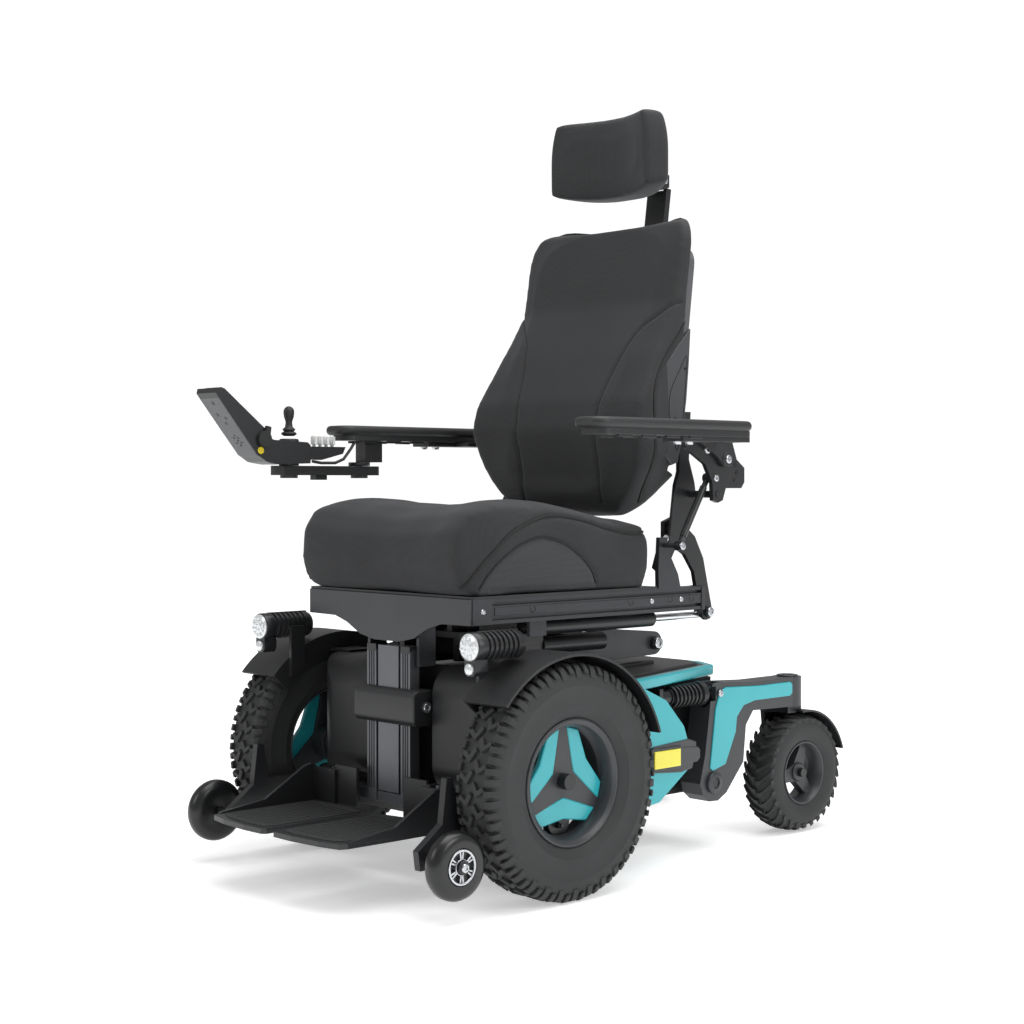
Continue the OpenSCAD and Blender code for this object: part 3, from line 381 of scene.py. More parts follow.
def piece(name, bm, body, key, bevel=0.0, cuts=2, stands_for=(), sharp=38):
    bmesh.ops.remove_doubles(bm, verts=bm.verts, dist=2e-6)
    bmesh.ops.recalc_face_normals(bm, faces=bm.faces)
    mesh = bpy.data.meshes.new(name)
    bm.to_mesh(mesh)
    bm.free()
    mesh.shade_smooth()
    mesh.set_sharp_from_angle(angle=math.radians(sharp))
    mesh.materials.append(MATS[key])
    ob = bpy.data.objects.new(name, mesh)
    bpy.context.collection.objects.link(ob)
    if bevel:
        mod = ob.modifiers.new("broken edges", "BEVEL")
        mod.width, mod.segments, mod.limit_method = bevel / 1000, cuts, "ANGLE"
        mod.angle_limit, mod.use_clamp_overlap = math.radians(35), True
    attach(ob, body)
    if stands_for:
        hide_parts(*stands_for)
    print(name, len(mesh.polygons), "faces on", body)
    return ob

def screws(name, body, key, rows):
    """Socket-head screws: rows of axis, side, place (x, y, z of the head's foot), radius, height."""
    bm = bmesh.new()
    for axis, side, place, r, h in rows:
        profile = [(0, r), (h - 0.7, r), (h, r - 0.8), (h, r * 0.55), (h * 0.45, r * 0.5), (h * 0.45, 0.01)]
        turned(bm, [(a * side, b) for a, b in profile], place, axis, steps=20)
    return piece(name, bm, body, key, sharp=50)
# %% [markdown]
# ## Drive tyres
# A 14 by 3 inch tyre with an all-terrain tread: two rows of L-shaped blocks in the middle,
# and long and short blocks that wrap over each shoulder. The carcass is a profile spun
# about the axle. One pitch of the tread is drawn at the top of the wheel, and spun round
# as copies, which keeps every block the same. Lettering on the wall is left out, and two
# fine moulded rings stay.

# %% One tyre carcass and one pitch of tread
R, PITCHES = 177.5, 34

def drive_tyre(side, name, body, node):
    mid = side * 285
    wall = [(29, 96), (34, 101), (38.5, 111), (39.6, 112.5), (39.4, 114.5), (40.4, 130), (41, 143),
            (41.7, 144.5), (41.2, 147), (39.6, 158), (35, 166.5), (25, 170.3), (0, 171.6)]
    loop = wall + [(-a, r) for a, r in reversed(wall[:-1])] + [wall[0]]
    bm = bmesh.new()
    turned(bm, loop, (mid, 0, R), steps=120)
    lugs = bmesh.new()
    ell = [(-11, -11), (9, -11), (9, -4), (-3.5, -4), (-3.5, 11), (-11, 11)]
    lean = math.radians(33)
    for flip, shift in ((1, -5), (-1, 11)):
        spot = [(flip * (a * math.cos(lean) - b * math.sin(lean) + 13.5) + mid,
                 a * math.sin(lean) + b * math.cos(lean) + shift) for a, b in ell]
        drawn(lugs, "Z", R + 169.5, R + 176.9, spot)
    for flip, shift in ((1, 3), (-1, -12)):
        for turn, half, reach in ((0, 5.5, 157), (15.5, 4.5, 163)):
            block_side = [(25.5, 168), (26.5, 176.3), (33.5, 174.6), (38.6, 169), (41.9, reach),
                          (38.5, reach - 1), (35, 164)]
            drawn(lugs, "Y", shift + turn - half, shift + turn + half,
                  [(mid + flip * a, R + r) for a, r in block_side])
    bmesh.ops.recalc_face_normals(lugs, faces=lugs.faces)
    bmesh.ops.bevel(lugs, geom=lugs.edges[:], offset=0.0009, offset_type="OFFSET", segments=1,
                    profile=0.5, affect="EDGES", material=-1)
    bmesh.ops.spin(lugs, geom=lugs.verts[:] + lugs.edges[:] + lugs.faces[:], cent=at(mid, 0, R),
                   axis=(1, 0, 0), angle=math.radians(360 * (PITCHES - 1) / PITCHES),
                   steps=PITCHES - 1, use_duplicate=True)
    loose = bpy.data.meshes.new("tread")
    lugs.to_mesh(loose)
    lugs.free()
    bm.from_mesh(loose)
    return piece(name, bm, body, "tyre", stands_for=[node], sharp=32)

drive_tyre(1, "drive_tyre_tread_left", "drive_l", "drive_tyre_left")
drive_tyre(-1, "drive_tyre_tread_right", "drive_r", "drive_tyre_right")

# %% [markdown]
# ## Drive rims
# A dark die-cast rim with a dished flange. Its Y-shaped spider has one arm up, and three
# turquoise shells in the shape of a V clip between the arms. The Y and the V come from
# the same few points: where the arms end on the rim, and the corners on the lines
# half-way between the arms.

# %% Spider, shells and flange
ARMS = (90, 210, 330)

def polar(angle, along, aside=0.0):
    a = math.radians(angle)
    return (math.cos(a) * along - math.sin(a) * aside, math.sin(a) * along + math.cos(a) * aside)

def drive_rim(side, tag, node):
    mid = side * 285
    bm = bmesh.new()
    flange = [(29, 96.4), (32, 95), (32.6, 92), (29, 86), (20, 82), (9, 80.5), (3, 80.5), (3, 84),
              (-24, 90), (-31, 93), (-31, 95.5), (-29, 96.4), (29, 96.4)]
    turned(bm, [(side * a, r) for a, r in flange], (mid, 0, R), steps=96)
    star = []
    for k in ARMS:
        star += [polar(k, 83, -10), polar(k, 83, 10), polar(k + 60, 30)]
    star = [(a, b + R) for a, b in star]
    drawn(bm, "X", mid - side * 5, mid + side * 9, star)
    rod(bm, "X", mid - side * 31, mid - side * 5, (0, R), 32, 30, 48)
    piece("drive_rim_spider_" + tag, bm, "drive_" + tag, "casting", bevel=1.6, cuts=3,
          stands_for=[node])
    bm = bmesh.new()
    for k in ARMS:
        shell = [polar(k, 81, 7.6), polar(k, 74.5, 32), polar(k + 60, 57), polar(k + 120, 74.5, -32),
                 polar(k + 120, 81, -7.6), polar(k + 60, 24)]
        drawn(bm, "X", mid + side * 1, mid + side * 10.6, [(a, b + R) for a, b in shell])
    piece("drive_rim_shells_" + tag, bm, "drive_" + tag, "teal", bevel=2.2, cuts=3)
    bm = bmesh.new()
    turned(bm, [(-10, 24), (-2, 24), (1, 22), (1, 0.01)], (mid, 0, R - 62), steps=40)
    rod(bm, "X", mid, mid + side * 9, (-4, R - 66), 5.2, 4.6, 6)
    rod(bm, "X", mid + side * 9, mid + side * 13, (-4, R - 66), 3.2, 2.8, 16)
    piece("drive_rim_valve_" + tag, bm, "drive_" + tag, "spring", bevel=0.6)

drive_rim(1, "l", "drive_rim_left")
drive_rim(-1, "r", "drive_rim_right")

# %% [markdown]
# ## Casters
# The rear tyre is rounder, 210 by 65 mm, with curved bars that run back from the middle.
# A bar is drawn flat, cut into short lengths, and lowered towards the shoulder by the
# crown's own curve, so that it lies on the rubber all the way.

# %% Caster tyres and rims
CY, CR = 684, 105

def crown(out):
    return 0.0 if out < 6 else (out - 6) ** 2 / 62

def caster(side, tag, tyre_node, rim_node):
    mid = side * 188
    wall = [(25.5, 56), (29, 61), (31.5, 70), (32.4, 79), (31.4, 87), (27.5, 93.6), (20, 97.5),
            (10, 99.6), (0, 100)]
    bm = bmesh.new()
    turned(bm, wall + [(-a, r) for a, r in reversed(wall[:-1])] + [wall[0]], (mid, CY, CR), steps=96)
    lugs = bmesh.new()
    for flip, shift in ((1, 0), (-1, 6.5)):
        bar = [(1.5, -3), (1.5, 4), (9, 6), (18, 11.5), (27, 20), (31, 27), (31, 19), (26, 11), (17, 3),
               (9, -2)]
        verts = drawn(lugs, "Z", CR + CR - 8.5, CR + CR - 0.5,
                      [(mid + flip * a, CY + shift + b) for a, b in bar])
        for v in verts:
            v.co.z -= crown(abs(v.co.x * 1000 - mid)) / 1000
    bmesh.ops.recalc_face_normals(lugs, faces=lugs.faces)
    bmesh.ops.spin(lugs, geom=lugs.verts[:] + lugs.edges[:] + lugs.faces[:], cent=at(mid, CY, CR),
                   axis=(1, 0, 0), angle=math.radians(360 * 29 / 30), steps=29, use_duplicate=True)
    for v in lugs.verts:                     # the round tread leaves 0.4 mm at its ends
        arm = Vector((0, v.co.y - at(0, CY, 0).y, v.co.z - CR / 1000))
        if arm.length > (CR - 0.3) / 1000:
            v.co -= arm * (1 - (CR - 0.3) / 1000 / arm.length)
    loose = bpy.data.meshes.new("bars")
    lugs.to_mesh(loose)
    lugs.free()
    bm.from_mesh(loose)
    piece("caster_tyre_tread_" + tag, bm, "caster_" + tag, "tyre", stands_for=[tyre_node],
          sharp=40)
    bm = bmesh.new()
    flange = [(25.5, 56.3), (27.5, 55.5), (27.5, 53), (22, 49), (9, 46), (2, 45), (2, 48), (-20, 51),
              (-26, 54), (-26, 56), (25.5, 56.3)]
    turned(bm, [(side * a, r) for a, r in flange], (mid, CY, CR), steps=72)
    star = []
    for k in (70, 190, 310):
        star += [polar(k, 48, -8.5), polar(k, 48, 8.5), polar(k + 42, 21), polar(k + 60, 17),
                 polar(k + 78, 21)]
    drawn(bm, "X", mid - side * 4, mid + side * 12, [(a + CY, b + CR) for a, b in star])
    turned(bm, [(side * a, r) for a, r in [(8, 17), (15.5, 16.5), (17.5, 14.5), (18, 10), (18, 0.01)]],
           (mid, CY, CR), steps=48)
    rod(bm, "X", mid - side * 34, mid + side * 8, (CY, CR), 18, 17, 40)
    piece("caster_rim_spider_" + tag, bm, "caster_" + tag, "casting", bevel=1.8, cuts=3,
          stands_for=[rim_node])

caster(1, "l", "caster_tyre_left", "caster_rim_left")
caster(-1, "r", "caster_tyre_right", "caster_rim_right")

# %% [markdown]
# ## Anti-tip wheels
# Small solid polyurethane wheels in front of the tyres, 100 mm across, with a cast
# aluminium hub of six spokes that shows on the outside.

# %% Anti-tip wheels
AY, AZ = -217, 83

def antitip(side, tag, node):
    mid = side * 298
    bm = bmesh.new()
    rim = [(15, 27), (15.2, 36), (14, 42), (10.5, 47), (5, 49.6), (0, 50), (-5, 49.6), (-10.5, 47),
           (-14, 42), (-15.2, 36), (-15, 27), (-13, 14), (-12, 8), (9, 8), (10, 25), (15, 27)]
    turned(bm, [(side * a, r) for a, r in rim], (mid, AY, AZ), steps=72)
    piece("antitip_tyre_" + tag, bm, "antitip_" + tag, "urethane", stands_for=[node])
    bm = bmesh.new()
    hub = [(9.5, 25.5), (15.8, 25.5), (16.2, 24), (15.6, 22), (11, 21.5), (9.5, 21.5), (9.5, 25.5)]
    turned(bm, [(side * a, r) for a, r in hub], (mid, AY, AZ), steps=60)
    for k in range(6):
        a, b = 30 + 60 * k - 7, 30 + 60 * k + 7
        for turn in (a, b):
            bar = [polar(turn, 10, -1.3), polar(turn, 22.4, -1.3), polar(turn, 22.4, 1.3),
                   polar(turn, 10, 1.3)]
            drawn(bm, "X", mid + side * 9.5, mid + side * 14.4, [(p + AY, q + AZ) for p, q in bar])
    turned(bm, [(side * a, r) for a, r in [(9.5, 12.2), (15, 12.2), (15.6, 11.6), (15.6, 10.6), (9.5, 10.4),
                                           (9.5, 12.2)]], (mid, AY, AZ), steps=48)
    piece("antitip_hub_" + tag, bm, "antitip_" + tag, "steel", bevel=0.35)

antitip(1, "l", "antitip_wheel_left")
antitip(-1, "r", "antitip_wheel_right")
screws("antitip_axle_screws", "base", "steel", [("X", s, (s * 318, AY, AZ), 6.5, 3.4) for s in (1, -1)])

# %% [markdown]
# ## Headlamps
# A finned aluminium barrel cools the diodes behind a clear lens, and a smaller daytime
# light sits in the foot of the housing. The fins are grooves in the barrel's profile,
# which is spun about its own axis.

# %% Headlamps
def headlamp(side, tag, node):
    mid = side * 259
    bm = bmesh.new()
    barrel = [(-155, 20.6), (-153.5, 21.6), (-141, 21.6)]
    for k in range(7):
        y = -136 + 9.4 * k
        barrel += [(y, 21.4), (y + 0.6, 17.6), (y + 4.2, 17.6), (y + 4.8, 21.4)]
    barrel += [(-66, 21.2), (-60, 19.4), (-58, 16), (-58, 0.01)]
    turned(bm, [(-155, 0.01)] + barrel, (mid, 0, 384), "Y", steps=64)
    drawn(bm, "Y", -154.5, -130, [(mid - 12, 366), (mid - 12, 348), (mid - 7, 341.5), (mid + 7, 341.5),
                                  (mid + 12, 348), (mid + 12, 366)])
    block(bm, mid - 3, mid + 3, -140, -62, 404, 406.2)
    ear = side * 246.2
    rod(bm, "X", mid - side * 12, ear, (-100, 374), 8, 7, 24)
    piece("headlamp_barrel_" + tag, bm, "headlamp_" + tag, "powder", bevel=0.5, stands_for=[node])
    bm = bmesh.new()
    dome = [(-154.6, 19.8), (-156.4, 19.8), (-157.6, 18.6), (-159, 14), (-159.6, 8), (-159.8, 0.01)]
    turned(bm, dome, (mid, 0, 384), "Y", steps=56)
    for ring, n in ((13.6, 10), (6.4, 5)):
        for k in range(n):
            a, b = polar(360 / n * k + 11, ring)
            turned(bm, [(-158.6, 2.7), (-160.2, 2.5), (-160.8, 1.4), (-160.9, 0.01)],
                   (mid + a, 0, 384 + b), "Y", steps=14)
    turned(bm, [(-154.5, 8.6), (-157.2, 8.4), (-158.6, 6.5), (-159, 0.01)], (mid, 0, 352), "Y", steps=36)
    piece("headlamp_lens_" + tag, bm, "headlamp_" + tag, "lens")

headlamp(1, "l", "headlight_left")
headlamp(-1, "r", "headlight_right")

# %% [markdown]
# ## Rear suspension
# Each caster arm pushes on a coil-over shock. The coil is one wire: a small circle spun
# seven times round the rod while it moves along it, which is what the operator's step
# vector does.

# %% Shock absorbers
def shock(side, tag, node):
    mid = side * 190
    bm = bmesh.new()
    turns, steps = 7, 26
    wire = bmesh.ops.create_circle(bm, cap_ends=False, segments=10, radius=0.0027)["verts"]
    bmesh.ops.rotate(bm, verts=wire, matrix=TURN["X"])
    bmesh.ops.translate(bm, verts=wire, vec=at(mid, 352, 265 + 17))
    ring = wire + [e for e in bm.edges]
    bmesh.ops.spin(bm, geom=ring, cent=at(mid, 352, 265), axis=(0, 1, 0), steps=turns * steps,
                   dvec=(0, 0.0685 / (turns * steps), 0), angle=math.radians(360 * turns))
    piece("shock_coil_" + tag, bm, "shock_" + tag, "spring", sharp=60)
    bm = bmesh.new()
    collar = [(347, 6.2), (347, 14.4), (350, 14.4), (350, 13.2), (418, 13.2), (419, 14), (421, 20.6),
              (424, 21), (426, 21), (427, 19.8), (428, 21), (431, 21), (432, 20), (433, 10), (440, 9.5)]
    turned(bm, collar, (mid, 0, 265), "Y", steps=40)
    eye = [(-9.8, 5.3), (-9.8, 9.4), (-9.2, 10), (9.2, 10), (9.8, 9.4), (9.8, 5.3), (-9.8, 5.3)]
    turned(bm, eye, (mid, 455, 265), "X", steps=40)
    rod(bm, "Y", 348, 447, (mid, 265), 6, 6, 24)
    piece("shock_collar_" + tag, bm, "shock_" + tag, "powder", bevel=0.4, stands_for=[node])

shock(1, "l", "shock_rod_left")
shock(-1, "r", "shock_rod_right")

# %% [markdown]
# ## Turquoise shells and reflectors
# The same painted ABS as in the wheels covers the caster arms and edges the top cover.
# They are separate shells about 2 mm proud of the part they clip on, so each one is an
# outline drawn out a little and bevelled. The side reflectors sit in a grey holder.

# %% Shells, deck and reflectors
for side, tag in ((1, "l"), (-1, "r")):
    bm = bmesh.new()
    arm = [(430, 140), (437, 135), (470, 143), (497, 196), (500, 221), (518, 239), (548, 245),
           (646, 245), (652, 250), (652, 265), (646, 270), (560, 270), (470, 274), (455, 268), (444, 240)]
    drawn(bm, "X", side * 211, side * 214.2, arm)
    piece("caster_arm_shell_" + tag, bm, "arm_" + tag, "teal", bevel=1.4, cuts=3)
    bm = bmesh.new()
    drawn(bm, "X", side * 260, side * 264.5, [(226, 160), (232, 201), (318, 206), (336, 200), (336, 184),
                                             (326, 158), (300, 154)])
    block(bm, min(side * 262, side * 268), max(side * 262, side * 268), 226, 296, 162, 198)
    drawn(bm, "X", side * 244, side * 266,
          [(296, 166), (296, 195), (338, 192), (344, 187), (344, 174), (338, 168)])
    piece("reflector_holder_" + tag, bm, "base", "rear_abs", bevel=1.2, cuts=3)
    bm = bmesh.new()
    x0, x1 = sorted((side * 266.5, side * 270.2))
    block(bm, x0, x1, 230, 292, 166, 194)
    piece("side_reflector_" + tag, bm, "base", "reflector", bevel=1.0, cuts=3)
bm = bmesh.new()
for side in (1, -1):
    edge = [(223.6, 214), (223.6, 257.5), (151.2, 511.6), (100.6, 539.6), (64, 539.6), (64, 526),
            (97, 526), (139, 501), (207, 254), (207, 222)]
    drawn(bm, "Z", 287, 305.4, [(side * a, b) for a, b in edge])
piece("top_cover_edge", bm, "base", "teal", bevel=3.5, cuts=4)
bm = bmesh.new()
deck = [(190, 78), (203, 130), (200, 240), (132, 492), (92, 514)]
drawn(bm, "Z", 300, 309, deck + [(-a, b) for a, b in reversed(deck)])
hump = [(118, 90), (126, 200), (96, 420), (60, 450)]
drawn(bm, "Z", 300, 316, hump + [(-a, b) for a, b in reversed(hump)])
piece("top_cover_deck", bm, "base", "abs", bevel=7, cuts=4)
# %% [markdown]
# ## Soft goods
# A cushion is foam inside a stretched cover. Each one starts as a plain block a little
# smaller than the real thing. A voxel remesh gives it an even mesh, a shaping function
# moves its points to the moulded form, and a short cloth simulation with air pressure
# fills it out. The filling is evened out over the cover, and a cap on how far a point may
# travel keeps the form of the foam. One round of subdivision gives enough points for the
# seams, which are pressed in afterwards.

# %% Filling a cushion
def baked(ob):
    ready = bpy.data.meshes.new_from_object(ob.evaluated_get(bpy.context.evaluated_depsgraph_get()))
    ob.modifiers.clear()
    old, ob.data = ob.data, ready
    bpy.data.meshes.remove(old)
    bpy.context.view_layer.update()

def mm(co):
    return Vector((co.x * 1000, (co.y - AXLE) * 1000, co.z * 1000))

def cushion(name, bm, body, key, stands_for, shape=None, hold=None, voxel=5.5, cap=14,
            soften=6, iron=90):
    bmesh.ops.recalc_face_normals(bm, faces=bm.faces)
    ob = bpy.data.objects.new(name, bpy.data.meshes.new(name))
    bm.to_mesh(ob.data)
    bm.free()
    bpy.context.collection.objects.link(ob)
    mod = ob.modifiers.new("even mesh", "REMESH")
    mod.mode, mod.voxel_size, mod.use_smooth_shade = "VOXEL", voxel / 1000, True
    bpy.context.view_layer.update()
    baked(ob)
    bm = bmesh.new()
    bm.from_mesh(ob.data)
    if shape:
        for v in bm.verts:
            v.co = at(*shape(*mm(v.co)))
    for _ in range(soften):
        bmesh.ops.smooth_vert(bm, verts=bm.verts, factor=0.5, use_axis_x=True, use_axis_y=True,
                              use_axis_z=True)
    bm.to_mesh(ob.data)
    bm.free()
    before = [v.co.copy() for v in ob.data.vertices]
    mod = ob.modifiers.new("cloth", "CLOTH")
    mod.settings.quality, mod.settings.mass = 4, 0.25
    mod.settings.use_pressure, mod.settings.uniform_pressure_force = True, 4
    mod.settings.bending_stiffness = 6
    mod.settings.effector_weights.gravity = 0
    mod.collision_settings.use_collision = False
    for step in range(1, 21):
        bpy.context.scene.frame_set(step)
    baked(ob)
    bpy.context.scene.frame_set(1)
    # the cover is stretched tight, so the filling moves it smoothly, with no creases
    start = np.array([v[:] for v in before])
    moved = np.empty(len(before) * 3)
    ob.data.vertices.foreach_get("co", moved)
    moved = moved.reshape(-1, 3) - start
    ends = np.empty(len(ob.data.edges) * 2, dtype=np.int64)
    ob.data.edges.foreach_get("vertices", ends)
    ends = ends.reshape(-1, 2)
    count = np.bincount(ends.ravel(), minlength=len(before))[:, None]
    for _ in range(iron):
        total = np.zeros_like(moved)
        for a, b in ((0, 1), (1, 0)):
            for k in range(3):
                total[:, k] += np.bincount(ends[:, a], weights=moved[ends[:, b], k], minlength=len(before))
        moved = 0.3 * moved + 0.7 * total / count
    length = np.linalg.norm(moved, axis=1)[:, None]
    moved *= np.minimum(1, cap / 1000 / np.maximum(length, 1e-9))
    for v, spot in zip(ob.data.vertices, start + moved):
        v.co = at(*hold(*mm(Vector(spot)))) if hold else spot
    mod = ob.modifiers.new("finer", "SUBSURF")
    mod.levels = mod.render_levels = 1
    bpy.context.view_layer.update()
    baked(ob)
    ob.data.shade_smooth()
    ob.data.materials.clear()
    ob.data.materials.append(MATS[key])
    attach(ob, body)
    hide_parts(*stands_for)
    low, high = [Vector([f(v.co[i] for v in ob.data.vertices) for i in range(3)]) for f in (min, max)]
    print(name, len(ob.data.polygons), "faces", [round(c) for c in mm(low)], [round(c) for c in mm(high)])
    return ob

# %% [markdown]
# A seam pulls the cover into the foam along its line, and on some edges a braid is sewn
# over it. The line is given as a few points seen from one side. A ray from that side
# finds where each lies on the cushion, a smooth curve joins them, and the points of the
# cover near the curve sink by a bell-shaped amount.

# %% Seams and braids
def line_on(ob, points, toward, steps=14):
    """Points in mm, cast along a direction on to the piece, with the normal there."""
    tree = BVHTree.FromObject(ob, bpy.context.evaluated_depsgraph_get())
    spots = [at(*p) for p in points]
    fine = []
    for i in range(len(spots) - 1):
        a, b = spots[i], spots[i + 1]
        before = spots[i - 1] if i else a + (a - b)
        after = spots[i + 2] if i + 2 < len(spots) else b + (b - a)
        for k in range(steps):
            t = k / steps
            fine.append(0.5 * (2 * a + (b - before) * t + (2 * before - 5 * a + 4 * b - after) * t * t
                               + (3 * a - before - 3 * b + after) * t ** 3))
    fine.append(spots[-1])
    way = Vector(toward).normalized()
    found = []
    for p in fine:
        hit = tree.ray_cast(p - way * 0.6, way)
        if hit[0]:
            found.append((hit[0], hit[1]))
    return found

def press(ob, line, depth, width):
    """Sinks the cover along a line by depth mm, over a width in mm."""
    near = kdtree.KDTree(len(line))
    for i, (p, _) in enumerate(line):
        near.insert(p, i)
    near.balance()
    normals = [v.normal.copy() for v in ob.data.vertices]
    for v, n in zip(ob.data.vertices, normals):
        far = near.find(v.co)[2] * 1000
        if far < width * 3:
            v.co -= n * (depth / 1000 * math.exp(-(far / width) ** 2))
    ob.data.update()

def braid(name, line, radius, body, key, lift=0.0, closed=False):
    """A round cord along a line, lifted off the cover by lift mm."""
    data = bpy.data.curves.new(name, "CURVE")
    data.dimensions, data.bevel_depth, data.bevel_resolution = "3D", radius / 1000, 2
    data.use_fill_caps = True
    row = data.splines.new("POLY")
    row.points.add(len(line) - 1)
    row.use_cyclic_u = closed
    for point, (p, n) in zip(row.points, line):
        point.co = list(p + n * lift / 1000) + [1]
    curve = bpy.data.objects.new(name + "_path", data)
    bpy.context.collection.objects.link(curve)
    bpy.context.view_layer.update()
    mesh = bpy.data.meshes.new_from_object(curve.evaluated_get(bpy.context.evaluated_depsgraph_get()))
    bpy.data.objects.remove(curve)
    mesh.materials.clear()
    mesh.materials.append(MATS[key])
    mesh.shade_smooth()
    ob = bpy.data.objects.new(name, mesh)
    bpy.context.collection.objects.link(ob)
    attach(ob, body)
    return ob

# %% [markdown]
# The seat cushion is contoured: its sides are raised a little along each thigh, and its
# middle dips, most of all near the front. Its front is a round bull nose. Low on each side an
# arch-shaped panel of a tighter knit is let in, edged with a double black piping.

# %% Seat cushion
def bell(value, middle, width):
    return math.exp(-((value - middle) / width) ** 2)

def seat_form(x, y, z):
    up = max(0.0, min(1.0, (z - 480) / 70))
    ahead = max(0.0, min(1.0, (60 - y) / 120))
    sink = 11 * bell(x, 10, 80) + 3 * (bell(x, 105, 40) + bell(x, -105, 40))
    rise = 5 * (bell(x, 172, 34) + bell(x, -172, 34)) * bell(y, 60, 190)
    z += up * (rise - sink * (0.45 + 0.35 * ahead))
    y += ahead * (1 - abs(z - 500) / 90 if abs(z - 500) < 90 else 0) * sink * 0.55
    round_off = max(0.0, -(y + 52)) / 60
    x *= 1 - 0.035 * round_off ** 2
    waist = max(0.0, (y - 120) / 180)
    return x * (1 - 0.03 * waist), y, z

CREST = [(-80, 462), (-70, 478), (-48, 501), (-14, 522), (20, 534), (45, 537), (83, 529), (122, 510),
         (155, 486), (172, 463)]

def seat_hold(x, y, z):
    return max(-209, min(209, x)), max(-125, min(304, y)), max(451.6, z)

bm = bmesh.new()
drawn(bm, "X", -206, 206, [(-84, 450), (-114, 462), (-127, 500), (-121, 548), (-96, 576), (-52, 584),
                           (10, 584), (70, 580), (150, 568), (230, 554), (294, 552), (306, 525),
                           (304, 480), (292, 450)])
seat = cushion("seat_cushion_cover", bm, "seat", "cover", ["seat_cushion"],
               seat_form, seat_hold, cap=9, soften=12)
for side, tag in ((1, "left"), (-1, "right")):
    arch = [(side * 190, y, z) for y, z in [(-108, 463), (-84, 493), (-52, 524), (-20, 547), (32, 565),
                                            (75, 570), (135, 563), (202, 548), (257, 539), (288, 541)]]
    press(seat, line_on(seat, arch, (-side, 0, 0)), 3.2, 5.5)
    braid("seat_piping_outer_" + tag, line_on(seat, arch, (-side, 0, 0)), 2.0, "seat", "piping", 0.5)
    panel = [(side * 190, y, z) for y, z in CREST]
    press(seat, line_on(seat, panel, (-side, 0, 0)), 2.6, 4.0)
    braid("seat_piping_inner_" + tag, line_on(seat, panel, (-side, 0, 0)), 1.9, "seat", "piping", 0.5)
    hem = line_on(seat, [(side * 190, y, 459) for y in range(-60, 290, 25)], (-side, 0, 0))
    press(seat, hem, 1.4, 3.0)

# %% [markdown]
# The arch panel is a second finish on the same cushion, so its faces are picked by where
# they are: on the side, and below the inner line of the arch. A band 12 mm deep just above
# that line takes the black braid cloth as painted shade, standing in for the shadow between
# the two pipings.

# %% Panels of the seat cushion
seat.data.materials.append(MATS["gusset"])
seat.data.materials.append(MATS["piping"])
def under_arch(y, z, line):
    for (a, za), (b, zb) in zip(line, line[1:]):
        if a <= y <= b:
            return z < za + (zb - za) * (y - a) / (b - a)
    return False
count = 0
for face in seat.data.polygons:
    c = mm(face.center)
    if abs(c.x) > 165 and abs(face.normal.x) > 0.25:
        if under_arch(c.y, c.z, CREST):
            face.material_index = 1
            count += 1
        # painted shade: faces up to 12 mm above the inner line take the black braid cloth, standing in for
        # the shadow between the two pipings
        elif under_arch(c.y, c.z + 12, CREST):
            face.material_index = 2
print("faces in the arch panels:", count)

# %% [markdown]
# The back cushion is deep at the hips, where it wraps the sides of the body, and thin at
# the shoulders. Its middle is hollow to match the bent shell behind it. Two long seams
# divide the front into a middle and two wings, and a black piping runs round its edge.

# %% Back cushion
SHELL_Y = 369 - math.sqrt(445 ** 2 - 192 ** 2)
LEAN = math.radians(7.9)

def leaned_back(y, z):
    """A point in the upright frame of the shell, before its lean."""
    dy, dz = y - 369, z - 642
    return 369 + dy * math.cos(LEAN) - dz * math.sin(LEAN), 642 + dy * math.sin(LEAN) + dz * math.cos(LEAN)

def leaned(x, y, z):
    """The way back: a point of the upright shell, leaned as it stands on the chair."""
    dy, dz = y - 369, z - 642
    return (x, 369 + dy * math.cos(LEAN) + dz * math.sin(LEAN),
            642 - dy * math.sin(LEAN) + dz * math.cos(LEAN))

def half_width(z):
    if z < 690:
        t = max(0.0, (690 - z) / 128)
        return 190 * (1 - 0.40 * t ** 2.6)
    if z > 1010:
        t = min(1.0, (z - 1010) / 66)
        return 190 * (1 - 0.13 * t ** 2.8)
    return 190 + 2 * bell(z, 740, 120)

def back_form(x, y, z):
    side = x / 181
    hollow = (26 + 10 * bell(z, 720, 130)) * (1 - side * side) * max(0.0, min(1.0, (z - 566) / 60))
    edge = back_front(z)
    weight = max(0.0, min(1.0, 1 - (y - edge) / 90)) if z > 590 else 1
    flank = 11 * bell(z, 715, 100) * max(0.0, min(1.0, (350 - y) / 50))
    return side * (half_width(z) + flank), y + hollow * weight * 0.75, z

FRONT = [(560, 318), (574, 300), (600, 284), (640, 274), (707, 260), (756, 272), (839, 318), (925, 372),
         (1050, 398), (1074, 404)]

def back_front(z):
    for (a, ya), (b, yb) in zip(FRONT, FRONT[1:]):
        if a <= z <= b:
            return ya + (yb - ya) * (z - a) / (b - a)
    return FRONT[0][1] if z < 560 else FRONT[-1][1]

def back_hold(x, y, z):
    uy, uz = leaned_back(y, z)
    far = math.hypot(x, uy - SHELL_Y)
    if far > 432.4 and uz > 640:
        pull = 432.4 / far
        x, y, z = leaned(x * pull, SHELL_Y + (uy - SHELL_Y) * pull, uz)
    wide = 191 + 13 * bell(z, 715, 100) * max(0.0, min(1.0, (350 - y) / 50))
    return max(-wide, min(wide, x)), y, max(558, min(1074, z))

